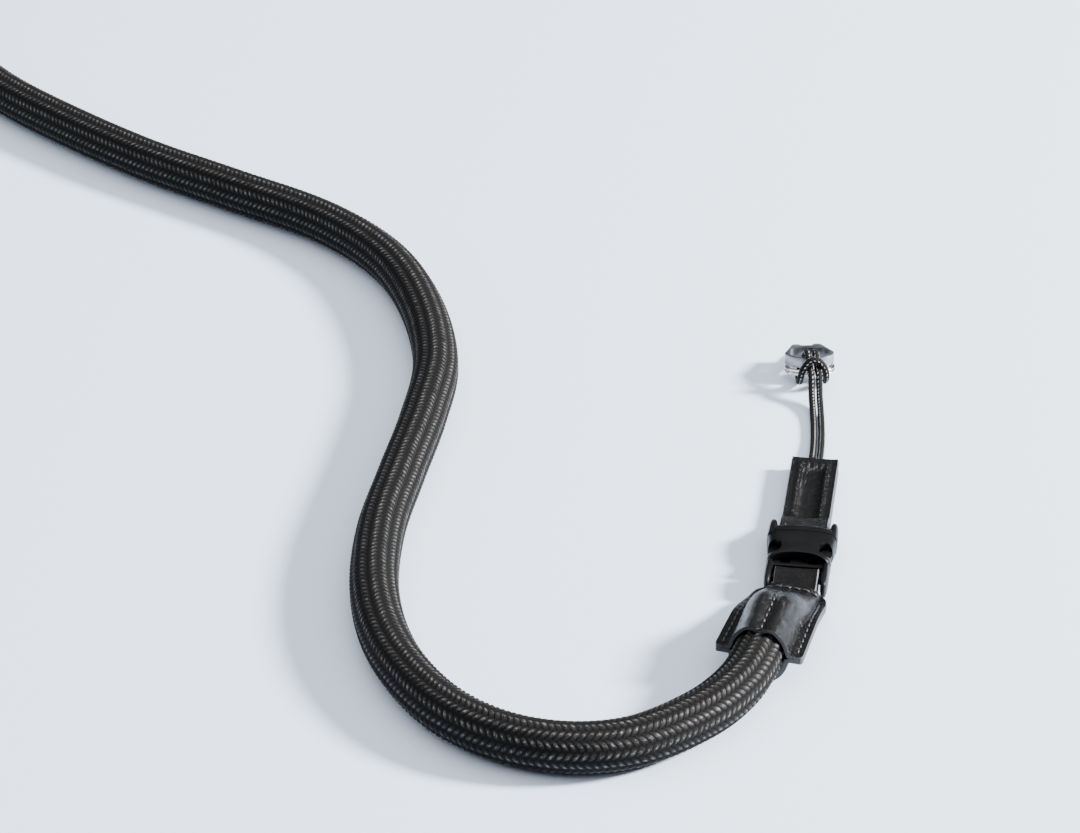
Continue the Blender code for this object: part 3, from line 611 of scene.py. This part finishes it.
def sleeve_place(along, across, under):
    """Where a point of the flat grid, from -1 to 1 each way, goes on the upper or under face."""
    x = (along + 1) / 2 * sleeve_length
    edge = sleeve_edge(x)
    hump = min(sleeve_at(x)["hump"], edge - 0.5)
    share = abs(across) / flange_start
    if share < 1:
        y = hump * math.sin(share * math.pi / 2)
    else:
        y = hump + (edge - hump) * (share - 1) / (1 / flange_start - 1)
    y = math.copysign(y, -across if under else across)
    if under:
        return Vector((x, y, sleeve_under(x, y))) * mm
    stitches_along = (x - first_hole) / sleeve_stitch
    dip = seam_dip(abs(y) - (edge - sleeve_margin), stitches_along)
    if x < middle_seam_end:
        dip += 0.7 * seam_dip(y, stitches_along)
    if x > 25:
        dip = max(dip, seam_dip(x - tip_seam, y / sleeve_stitch) * (abs(y) < 6.2))
    wear = creases(x, y, 3.0) * min(x / 4, 1.0) * min((edge - abs(y)) / 2, 1.0)
    return Vector((x, y, sleeve_top(x, y) - dip + wear)) * mm


def modifier_on(piece, kind, **settings):
    """Adds a modifier with these settings, and applies it."""
    bpy.context.view_layer.objects.active = piece
    made = piece.modifiers.new(kind.title(), kind)
    for name, value in settings.items():
        setattr(made, name, value)
    bpy.ops.object.modifier_apply(modifier=made.name)


def rounded_off(piece, width, degrees):
    """Rounds the edges that are sharper than this, with three faces across each."""
    sharp = {"limit_method": "ANGLE", "angle_limit": math.radians(degrees)}
    modifier_on(piece, "BEVEL", width=width * mm, segments=3, **sharp)


def smoothed(piece, degrees):
    """Smooth shading, with edges sharper than this left as creases."""
    select_only(piece)
    bpy.ops.object.shade_smooth_by_angle(angle=math.radians(degrees))
    return piece


def leather_sheet(cells, place, wall, offset, rim, face, edge):
    """A grid laid onto its shape point by point, thickened, its cut edges rounded.

    face and edge are the materials of its faces and of its cut edges.
    """
    select_only()
    bpy.ops.mesh.primitive_grid_add(x_subdivisions=cells[0], y_subdivisions=cells[1], size=2.0)
    sheet = bpy.context.object
    sheet.data.materials.append(face)
    sheet.data.materials.append(edge)
    for point in sheet.data.vertices:
        point.co = place(point.co.x, point.co.y)
    modifier_on(sheet, "SOLIDIFY", thickness=wall * mm, offset=offset, material_offset_rim=1)
    rounded_off(sheet, rim, 55)
    return smoothed(sheet, 50)


def joined(pieces, material=None):
    """One object from several, made of this material unless they have their own."""
    select_only(*pieces)
    bpy.ops.object.join()
    if material:
        pieces[0].data.materials.append(material)
    return pieces[0]


def lay(model, name, frame_name, solid=None):
    """Copies a modelled piece, each copy with its own mesh, to its place on both ends."""
    for end, at in strap_ends.items():
        made = new_object(f"{name}_{end}", model.data.copy())
        made.data.name = made.name
        made.data.transform(at[frame_name])
        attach(made, "root")
        if solid:
            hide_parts(f"{solid}_{end}")
    bpy.data.objects.remove(model)


def stitch(start, stop, level):
    """One stitch between two holes: a capsule of thread that arches over the leather."""
    middle = [(start[axis] + stop[axis]) / 2 for axis in range(2)]
    span = math.dist(start, stop)
    slope = math.atan2(level(*stop) - level(*start), span)
    turn = math.atan2(stop[1] - start[1], stop[0] - start[0])
    select_only()
    bpy.ops.mesh.primitive_uv_sphere_add(segments=10, ring_count=9, radius=1.0)
    made = bpy.context.object
    place = (
        Matrix.Translation(Vector((*middle, level(*middle))) * mm)
        @ Matrix.Rotation(turn + math.radians(5), 4, "Z")
        @ Matrix.Rotation(-slope, 4, "Y")
    )
    for point in made.data.vertices:
        y, z, x = point.co
        bow = 0.10 - 0.22 * x * x
        y, z = y * thread_radius, z * thread_radius * 0.85 + bow
        point.co = place @ (Vector((x * span * 0.43, y, z)) * mm)
    return smoothed(made, 60)


def stitch_row(holes, level):
    """Stitches from hole to hole."""
    return [stitch(start, stop, level) for start, stop in zip(holes, holes[1:])]


leather_effect, given, made_of = effect_group(
    "leather_grain",
    {"Place": "Vector", "Grain": "Float", "Wrinkle": "Float", "Wrinkle Share": "Float"},
    {"Height": "Float", "Crease": "Float", "Patch": "Float"},
)
leather_sum = partial(sum_in, leather_effect)
leather_node = partial(node_in, leather_effect)
inputs = {"Vector": given["Place"], "Scale": 900.0, "Detail": 1.0}
inputs = {0: leather_node("ShaderNodeTexNoise", inputs).outputs["Color"], 1: (0.5, 0.5, 0.5)}
drift = leather_node("ShaderNodeVectorMath", inputs, operation="SUBTRACT").outputs[0]
inputs = {0: drift, 1: (0.0004, 0.0004, 0.0004), 2: given["Place"]}
drifted = leather_node("ShaderNodeVectorMath", inputs, operation="MULTIPLY_ADD").outputs[0]
inputs = {"Vector": drifted, "Scale": given["Grain"]}
pebble = leather_node("ShaderNodeTexVoronoi", inputs, feature="DISTANCE_TO_EDGE").outputs["Distance"]
rounded = range_in(leather_effect, pebble, 0.0, 0.22, curve="SMOOTHSTEP")
inputs = {"Vector": drifted, "Scale": given["Wrinkle"], "Detail": 3.0, "Roughness": 0.55}
wrinkle = leather_node("ShaderNodeTexNoise", inputs).outputs[0]
pebbles = leather_sum("MULTIPLY", rounded, leather_sum("SUBTRACT", 1.0, given["Wrinkle Share"]))
height = leather_sum("MULTIPLY_ADD", wrinkle, given["Wrinkle Share"], pebbles)
patch = noise_in(leather_effect, given["Place"], 140.0, 2.0)
# Crease marks the grain's creases, where the finishes paint shade.
feed(made_of, {"Height": height, "Crease": leather_sum("SUBTRACT", 1.0, rounded), "Patch": patch})


def drifting_material(name, effect, inputs, tones, rough, relief, metallic=0.0, **constants):
    """A finish whose tone and roughness drift between two values, with its effect's relief and painted
    crease shade.
    """
    made, tree, shader = finish_material(name, rough[0], metallic, **constants)
    place = tree.nodes.new("ShaderNodeTexCoord").outputs["Object"]
    group = node_in(tree, "ShaderNodeGroup", {"Place": place, **inputs}, node_tree=effect).outputs
    tone = blend_in(tree, group["Patch"], (*tones[0], 1.0), (*tones[1], 1.0))
    if "Crease" in group:
        # Near black in the grain's creases is painted shade.
        crease_shade = sum_in(tree, "MULTIPLY", group["Crease"], 0.6)
        tone = blend_in(tree, crease_shade, tone, (0.003, 0.003, 0.003, 1.0))
    feed(shader, {"Base Color": tone, "Roughness": range_in(tree, group["Patch"], 0.3, 0.7, *rough)})
    raise_by(shader, group["Height"], relief)
    return made


glazed_leather = drifting_material(
    "glazed_leather",
    leather_effect,
    {"Grain": 3200.0, "Wrinkle": 1400.0, "Wrinkle Share": 0.5},
    tones=((0.0022, 0.0022, 0.0025), (0.0045, 0.0045, 0.0050)),
    rough=(0.14, 0.30),
    relief=0.00008,
    Specular_IOR_Level=0.17,
)
painted_edge = drifting_material(
    "painted_edge",
    leather_effect,
    {"Grain": 3600.0, "Wrinkle": 900.0, "Wrinkle Share": 0.9},
    tones=((0.024, 0.024, 0.026), (0.056, 0.057, 0.060)),
    rough=(0.45, 0.62),
    relief=0.00003,
)
waxed_thread, tree, shader = finish_material("waxed_thread", 0.34, Specular_IOR_Level=0.6)
place = tree.nodes.new("ShaderNodeTexCoord").outputs["Object"]
strands = noise_in(tree, place, 5200.0, 2.0)
thread_tone = blend_in(tree, strands, (0.004, 0.004, 0.005, 1.0), (0.028, 0.028, 0.031, 1.0))
feed(shader, {"Base Color": thread_tone})
raise_by(shader, strands, 0.00003)

leathers = (glazed_leather, painted_edge)
faces = []
for under, cells, wall in ((False, (112, 96), sleeve_wall_top), (True, (60, 60), sleeve_wall_under)):
    place = partial(sleeve_place, under=under)
    faces.append(leather_sheet(cells, place, wall, -1.0, sleeve_rim, *leathers))
lay(joined(faces), "sleeve_leather", "sleeve", "sleeve")
holes = [first_hole + sleeve_stitch * n for n in range(13)]
stitches = []
for side in (1, -1):
    row = [(x, side * (sleeve_edge(x) - sleeve_margin)) for x in holes]
    stitches += stitch_row(row, lambda x, y: sleeve_top(x, y) - 0.12)
row = [(x, 0.0) for x in holes if x < middle_seam_end]
stitches += stitch_row(row, lambda x, y: sleeve_top(x, y) - 0.10)
row = [(tip_seam, sleeve_stitch * n) for n in range(-3, 4)]
stitches += stitch_row(row, lambda x, y: sleeve_top(x, y) - 0.12)
stitches = joined(stitches, waxed_thread)
lay(stitches, "sleeve_stitches", "sleeve")

# Strips
# Each is a short band of matt black leather, folded round the buckle's bar and sewn between the
# sleeve's two faces. It bends a little sideways where it leaves the sleeve.
buckle_middle = 3.1
bar_radius = 0.8
strip_width = 8.8
strip_wall = 1.15
strip_inside = 4.5
strip_thickness = 2.6
strip_bar = 5.1
strip_level = 2.64


def fold_line(bar, free_end, free_level, thickness, wall, taper, step):
    """The middle line of leather folded round a bar, from the upper free end round to the lower.

    Its points are (x, z) in millimetres, at equal steps. The two layers meet after the taper.
    """
    way = math.copysign(1.0, free_end - bar)
    loop = bar_radius + touch_gap / mm + wall / 2
    upper = free_level + (thickness - wall) / 2
    lower = free_level - (thickness - wall) / 2
    eye = [math.radians(75 + 210 * k / 24) for k in range(25)]
    eye = [(loop * math.cos(turn), buckle_middle + loop * math.sin(turn)) for turn in eye]
    run_in = []
    run_out = []
    for k in range(1, 13):
        share = k / 12
        eased = share**2 * (3 - 2 * share)
        u = eye[0][0] + (taper - eye[0][0]) * share
        run_in.append((u, eye[0][1] + (upper - eye[0][1]) * eased))
        run_out.append((u, eye[-1][1] + (lower - eye[-1][1]) * eased))
    reach = abs(free_end - bar)
    line = np.array([(reach, upper), *run_in[::-1], *eye, *run_out, (reach, lower)])
    line[:, 0] = bar + way * line[:, 0]
    return spaced(line, step)


def across_line(line, n):
    """The unit direction across a line of (x, z) points at point n, to its left."""
    ahead = line[min(n + 1, len(line) - 1)] - line[max(n - 1, 0)]
    ahead /= np.linalg.norm(ahead)
    return np.array((-ahead[1], ahead[0]))


def bent(point, length, turn):
    """A point bent to the left with the first stretch of +X."""
    along = min(max(point.x / mm, 0.0), length)
    if along == 0:
        return point
    return turned(along, turn * along / length) @ (point - Vector((along * mm, 0, 0)))


strip_line = fold_line(strip_bar, -strip_inside, strip_level, strip_thickness, strip_wall, 4.4, 0.25)


def strip_place(along, across):
    """Where a point of the flat grid goes on the folded strip, whose edges curl in a little."""
    n = round((along + 1) / 2 * (len(strip_line) - 1))
    swell = 0.05 * noise.noise(Vector((n * 0.07, across * 2.0, 5.0))) - 0.18 * abs(across) ** 5
    x, z = strip_line[n] - across_line(strip_line, n) * swell
    return Vector((x, across * strip_width / 2, z)) * mm


matt_leather = drifting_material(
    "matt_leather",
    leather_effect,
    {"Grain": 3600.0, "Wrinkle": 1700.0, "Wrinkle Share": 0.35},
    tones=((0.0016, 0.0016, 0.0018), (0.0034, 0.0034, 0.0037)),
    rough=(0.52, 0.66),
    relief=0.00009,
    Specular_IOR_Level=0.09,
)
raw_edge = drifting_material(
    "raw_edge",
    leather_effect,
    {"Grain": 2600.0, "Wrinkle": 900.0, "Wrinkle Share": 0.7},
    tones=((0.10, 0.10, 0.105), (0.20, 0.20, 0.205)),
    rough=(0.55, 0.75),
    relief=0.00008,
)
for end, at in strap_ends.items():
    cells = (len(strip_line) - 1, 28)
    strip = leather_sheet(cells, strip_place, strip_wall, 0.0, 0.2, matt_leather, raw_edge)
    for point in strip.data.vertices:
        point.co = at["strip"] @ bent(point.co, strip_bend, at["strip_turn"])
    strip.name = f"leather_strip_{end}"
    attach(strip, "root")
    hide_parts(f"strip_{end}")

# Buckles
# Each is a side-release buckle of moulded satin plastic. The receiver takes the tab between two
# horns, and the insert takes the strip between two arms. Its prongs show in the side windows.
buckle_height = 6.2
cut_height = 2 * buckle_height
far_width = 14.2
mouth_width = 12.8
receiver_length = 11.8
horn_thickness = 1.9
arm_thickness = 1.6
insert_width = 11.7
window_along = 4.0
window_length = 4.6
window_width = 3.0
window_across = mouth_width / 2 - window_width / 2 + 0.3
# The receiver from its mouth to its far edge: its width, and the share of the full height.
receiver_table = (
    (0.00, mouth_width - 0.8, 0.86),
    (0.30, mouth_width - 0.2, 0.95),
    (0.90, mouth_width + 0.1, 0.99),
    (2.20, mouth_width - 0.1, 1.00),
    (4.20, mouth_width - 0.1, 0.99),
    (6.40, mouth_width + 0.7, 0.99),
    (8.60, far_width - 0.2, 1.00),
    (9.55, far_width, 1.00),
    (9.62, far_width - 0.32, 0.955),
    (9.76, far_width - 0.32, 0.955),
    (9.83, far_width, 1.00),
    (11.20, far_width, 0.99),
    (11.60, far_width - 0.3, 0.95),
    (11.80, far_width - 0.9, 0.87),
)
# A horn from its root to its tip: the shares of its length, thickness and height.
horn_table = (
    (0.00, 1.00, 1.00),
    (0.45, 1.00, 1.00),
    (0.70, 0.94, 0.95),
    (0.86, 0.80, 0.84),
    (0.95, 0.58, 0.66),
    (1.00, 0.26, 0.38),
)


def moulded(rows, squareness, sides):
    """A bar along X: a rounded rectangle, extruded from row to row and resized at each.

    A row is the section's centre and its width and height, in millimetres.
    """
    (x, y, z), width, height = rows[0]
    select_only()
    bpy.ops.mesh.primitive_circle_add(vertices=sides, radius=1.0, fill_type="NGON")
    made = bpy.context.object
    for point in made.data.vertices:
        across = math.copysign(abs(point.co.x) ** (2 / squareness), point.co.x)
        rise = math.copysign(abs(point.co.y) ** (2 / squareness), point.co.y)
        point.co = Vector((x, y + across * width / 2, z + rise * height / 2)) * mm
    bpy.ops.object.mode_set(mode="EDIT")
    bpy.ops.mesh.select_all(action="SELECT")
    for before, after in zip(rows, rows[1:]):
        step = (Vector(after[0]) - Vector(before[0])) * mm
        bpy.ops.mesh.extrude_region_move(TRANSFORM_OT_translate={"value": step})
        bpy.ops.transform.resize(
            value=(1.0, after[1] / before[1], after[2] / before[2]),
            center_override=Vector(after[0]) * mm,
        )
    bpy.ops.mesh.select_all(action="SELECT")
    bpy.ops.mesh.normals_make_consistent(inside=False)
    bpy.ops.object.mode_set(mode="OBJECT")
    return made


def primitive(add, centre, extent, **settings):
    """A primitive that is added at its centre and scaled to its extent, in millimetres."""
    select_only()
    add(location=Vector(centre) * mm, **settings)
    bpy.context.object.scale = extent
    bpy.ops.object.transform_apply(location=True, rotation=True, scale=True)
    return bpy.context.object


def rod(radius, length, centre):
    """A round bar across the strap."""
    shape = {"vertices": 32, "radius": radius * mm, "depth": length * mm}
    across = (math.pi / 2, 0, 0)
    return primitive(bpy.ops.mesh.primitive_cylinder_add, centre, (1, 1, 1), rotation=across, **shape)


def upright(centre, *size, sides=48):
    """An upright elliptic cylinder of this length, width and height."""
    shape = {"vertices": sides, "radius": 0.5 * mm, "depth": mm}
    return primitive(bpy.ops.mesh.primitive_cylinder_add, centre, size, **shape)


def block(centre, *size):
    """A plain block of this length, width and height."""
    return primitive(bpy.ops.mesh.primitive_cube_add, centre, size, size=mm)


def combined(owner, operation, others):
    """Joins other pieces to the owner, or cuts them away from it."""
    for other in others:
        modifier_on(owner, "BOOLEAN", operation=operation, solver="EXACT", object=other)
        bpy.data.objects.remove(other)


def side_bar(root, tip, across, thickness, height):
    """A horn or an arm along X, rounded towards its tip."""
    rows = []
    for along, thick, high in horn_table:
        x = root + (tip - root) * along
        rows.append(((x, across, buckle_middle), thickness * thick, height * high))
    return moulded(rows, 2.8, 24)


def eased_edges(piece, width, degrees=38):
    """Rounds the sharp edges as a mould does, and shades the rest smooth."""
    rounded_off(piece, width, degrees)
    return smoothed(piece, 42)


rows = [((x, 0, buckle_middle), width, buckle_height * share) for x, width, share in receiver_table]
receiver = moulded(rows, 3.3, 64)
horn_across = (far_width - horn_thickness) / 2
horns = []
for way in (1, -1):
    sizes = (receiver_length - 2.4, 15.6, way * horn_across, horn_thickness, 4.8)
    horns.append(side_bar(*sizes))
tab_bar = receiver_length + touch_gap / mm + bar_radius + touch_gap / mm + 1.2
tab_rod = rod(bar_radius, far_width - horn_thickness, (tab_bar, 0, buckle_middle))
combined(receiver, "UNION", [*horns, tab_rod])
arch_depth = 1.5
arch_radius = mouth_width**2 / (8 * arch_depth)
arch_centre = (arch_depth - arch_radius, 0, buckle_middle)
arch = upright(arch_centre, 2 * arch_radius, 2 * arch_radius, cut_height, sides=240)
windows = []
for way in (1, -1):
    place = (window_along, way * window_across, buckle_middle)
    windows.append(upright(place, window_length, window_width, cut_height))
pocket = block((3.25, 0, buckle_middle), 10.5, 10.6, 3.0)
combined(receiver, "DIFFERENCE", [pocket, arch, *windows])
eased_edges(receiver, 0.22)

insert = block((-0.8, 0, buckle_middle), 1.0, insert_width, 2.9)
arm_across = (mouth_width - arm_thickness) / 2
strip_rod = rod(bar_radius, insert_width, (-3.9, 0, buckle_middle))
tongue = block((3.0, 0, buckle_middle), 7.6, 3.4, 2.4)
prongs = []
for way in (1, -1):
    prongs.append(side_bar(-0.5, -8.0, way * arm_across, arm_thickness, 4.6))
    prongs.append(block((1.6, way * 4.4, buckle_middle), 4.8, 1.2, 2.3))
    prongs.append(upright((window_along, way * window_across, buckle_middle), 4.0, 2.4, 2.4))
combined(insert, "UNION", [strip_rod, tongue, *prongs])
eased_edges(insert, 0.16)

hard_effect, given, made_of = effect_group(
    "hard_surface",
    {"Place": "Vector", "Patches": "Float", "Grain": "Float"},
    {"Patch": "Float", "Height": "Float"},
)
patch = noise_in(hard_effect, given["Place"], given["Patches"], 3.0)
grain = noise_in(hard_effect, given["Place"], given["Grain"], 2.0)
feed(made_of, {"Patch": patch, "Height": grain})
satin_plastic = drifting_material(
    "satin_plastic",
    hard_effect,
    {"Patches": 260.0, "Grain": 4200.0},
    tones=((0.0013, 0.0013, 0.0016), (0.0030, 0.0031, 0.0036)),
    rough=(0.30, 0.46),
    relief=0.00002,
    Specular_IOR_Level=0.14,
)
for half, name in ((receiver, "receiver"), (insert, "insert")):
    half.data.materials.append(satin_plastic)
    lay(half, f"{name}_shell", "buckle", f"buckle_{name}")

# Tabs
# Each is one piece of glazed black leather folded round the receiver's bar, with the tether's
# ends between its layers. Stitches frame the middle, which swells. Its cut edges are painted.
tab_width = 9.7
tab_thickness = 3.2
tab_wall = 1.05
panel_start = 17.7
panel_stop = 40.2
panel_half = 2.75
tab_stitches = 12
tab_stitch = (panel_stop - panel_start) / tab_stitches
tab_line = fold_line(tab_bar, tab_end, tab_thickness / 2, tab_thickness, tab_wall, 6.0, 0.28)


def tab_relief(x, y):
    """How far the upper face stands above its middle line's level, in millimetres."""
    inside = min(x - panel_start, panel_stop - x)
    along = (x - panel_start) / tab_stitch
    side = seam_dip(abs(y) - panel_half, along) * (inside > -0.3)
    ends = seam_dip(inside, y / (panel_half / 2)) * (abs(y) < panel_half + 0.3)
    swell = 0.0
    if inside > 0:
        share = min(abs(y) / panel_half, 1.0)
        swell = 0.72 * (1 - share**2.4) ** 0.6 * min(inside / 1.6, 1.0) ** 0.5
    return swell - 1.35 * max(side, ends) + creases(x, y, 21.0) * 0.8


def tab_place(along, across):
    """Where a point of the flat grid goes on the folded tab."""
    n = round((along + 1) / 2 * (len(tab_line) - 1))
    x, z = tab_line[n]
    y = across * tab_width / 2
    upper = n < len(tab_line) / 2
    settle = min(max((x - tab_bar - 3.0) / 3.0, 0.0), 1.0)
    edge = min((tab_end - x) / 1.2, 1.0)
    rounding = 0.14 * abs(across) ** 8
    relief = tab_relief(x, y) * settle * edge - rounding if upper else rounding
    x, z = tab_line[n] + across_line(tab_line, n) * relief
    return Vector((x, y, z)) * mm


def tab_level(x, y):
    """The height of the tab's upper face under a stitch."""
    return tab_thickness - 0.10


tab = leather_sheet((len(tab_line) - 1, 56), tab_place, tab_wall, 0.0, 0.18, *leathers)
cores = [block((29.3, way * 3.2, tab_thickness / 2), 26.0, 2.9, 1.2) for way in (1, -1)]
lay(joined(cores, painted_edge), "tab_core", "buckle")
lay(tab, "tab_leather", "buckle", "tab")
rows = []
for way in (1, -1):
    holes = [(panel_start + tab_stitch * n, way * panel_half) for n in range(tab_stitches + 1)]
    rows += stitch_row(holes, tab_level)
for x in (panel_start, panel_stop):
    rows += stitch_row([(x, panel_half * share) for share in (-1, -1 / 3, 1 / 3, 1)], tab_level)
lay(joined(rows, waxed_thread), "tab_stitches", "buckle")

# Ring guards
# Each is a small plate of satin grey metal with one window, that keeps the ring off what the
# strap hangs on. It has a notch at its top. The tether's hitch holds it to the ring.
guard_width = 10.7
guard_length = 9.1
guard_shoulder = 6.0
guard_band = 2.4
notch_width = 2.6
notch_depth = 0.8


def arc_points(centre, radius, first, last, count):
    """Points on an arc between two angles in degrees."""
    turns = [math.radians(first + (last - first) * k / count) for k in range(count + 1)]
    return [(centre[0] + radius[0] * math.cos(t), centre[1] + radius[1] * math.sin(t)) for t in turns]


def add_line(curve, points, closed):
    """A spline of straight lines through these points, which are in millimetres."""
    spline = curve.splines.new("POLY")
    spline.points.add(len(points) - 1)
    for point, (x, y, z) in zip(spline.points, points):
        point.co = (x * mm, y * mm, z * mm, 1.0)
    spline.use_cyclic_u = closed


def made_mesh(curve, level=0.0):
    """A curve at this height, made a closed mesh whose faces point outwards."""
    made = new_object(curve.name, curve)
    made.location.z = level * mm
    select_only(made)
    bpy.ops.object.convert(target="MESH")
    bpy.ops.object.transform_apply(location=True, rotation=True, scale=True)
    bpy.ops.object.mode_set(mode="EDIT")
    bpy.ops.mesh.select_all(action="SELECT")
    bpy.ops.mesh.remove_doubles(threshold=1e-6)
    bpy.ops.mesh.normals_make_consistent(inside=False)
    bpy.ops.object.mode_set(mode="OBJECT")
    return bpy.context.object


def mirrored(points):
    """These points, and then their mirror images across the strap in reverse order."""
    return [*points, *[(x, -y) for x, y in points[::-1]]]


half = guard_width / 2
waist = 0.42 * guard_length
shoulder = guard_shoulder / 2
notch = notch_width / 2
top = guard_length - guard_band
inner_half = half - guard_bar
right_side = [
    *arc_points((guard_length - 0.8, -shoulder + 0.5), (0.8, 0.8), -62, 0, 8),
    (guard_length, -notch - 0.3),
    *arc_points((guard_length - notch_depth + 0.3, -notch + 0.3), (0.3, 0.3), 270, 180, 4),
]
outer = arc_points((waist, 0), (waist, half), 90, 270, 44) + mirrored(right_side)
window_right = arc_points((top - 0.9, -inner_half + 1.5), (0.9, 1.1), -50, 0, 8)
window_left = arc_points((waist, 0), (waist - guard_bar, inner_half), 90, 270, 40)
plate = bpy.data.curves.new("guard", "CURVE")
plate.dimensions = "2D"
plate.fill_mode = "BOTH"
plate.extrude = guard_thickness / 2 * mm
for outline in (outer, window_left + mirrored(window_right)):
    add_line(plate, [(x, y, 0.0) for x, y in outline], closed=True)
level = ring_thickness + touch_gap / mm + guard_thickness / 2
guard = made_mesh(plate, level)
eased_edges(guard, 0.28, 50)
satin_metal = drifting_material(
    "satin_metal",
    hard_effect,
    {"Patches": 330.0, "Grain": 3800.0},
    tones=((0.20, 0.20, 0.225), (0.34, 0.34, 0.37)),
    rough=(0.26, 0.44),
    relief=0.00001,
    metallic=1.0,
)
guard.data.materials.append(satin_metal)
lay(guard, "guard_plate", "guard", "ring_guard")

# Split rings
# Each is a flat steel wire wound twice into a rounded triangle, plated bright. Its two ends lie
# against the winding, so that it can be pried open.
ring_width = 11.2
base_radius = 2.7
apex_radius = 2.0
wire_width = 1.35
wire_height = 0.70
wire = ring_thickness / 2
step_points = 9
base_x = base_radius + wire / 2
base_y = ring_width / 2 - wire - base_radius
apex_x = ring_length - wire - apex_radius
run = math.hypot(apex_x - base_x, base_y)
lean = math.degrees(math.atan2(base_y, apex_x - base_x) - math.asin((base_radius - apex_radius) / run))
base = (base_radius, base_radius)
apex = (apex_radius, apex_radius)
turn_outline = [
    *arc_points((apex_x, 0), apex, lean - 90, 90 - lean, 20),
    *arc_points((base_x, base_y), base, 90 - lean, 180, 16),
    *arc_points((base_x, -base_y), base, 180, 270 + lean, 16),
]
windings = turn_outline + turn_outline[: len(turn_outline) - 2]
select_only()
bpy.ops.curve.primitive_bezier_circle_add(radius=mm)
profile = bpy.context.object
profile.scale = (wire_width / 2, wire_height / 2, 1.0)
bpy.ops.object.transform_apply(location=True, rotation=True, scale=True)
winding = bpy.data.curves.new("split_ring", "CURVE")
winding.dimensions = "3D"
winding.twist_mode = "Z_UP"
winding.bevel_mode = "OBJECT"
winding.bevel_object = profile
winding.use_fill_caps = True
wound = []
for n, (x, y) in enumerate(windings):
    share = min(max((n - len(turn_outline) + step_points) / step_points, 0.0), 1.0)
    wound.append((x, y, wire / 2 + share**2 * (3 - 2 * share) * wire))
add_line(winding, wound, closed=False)
ring = made_mesh(winding)
bpy.data.objects.remove(profile)
eased_edges(ring, 0.12, 60)
bright_steel = drifting_material(
    "bright_steel",
    hard_effect,
    {"Patches": 900.0, "Grain": 1200.0},
    tones=((0.66, 0.655, 0.63), (0.86, 0.85, 0.82)),
    rough=(0.07, 0.24),
    relief=0.000006,
    metallic=1.0,
)
ring.data.materials.append(bright_steel)
lay(ring, "wound_ring", "guard", "split_ring")
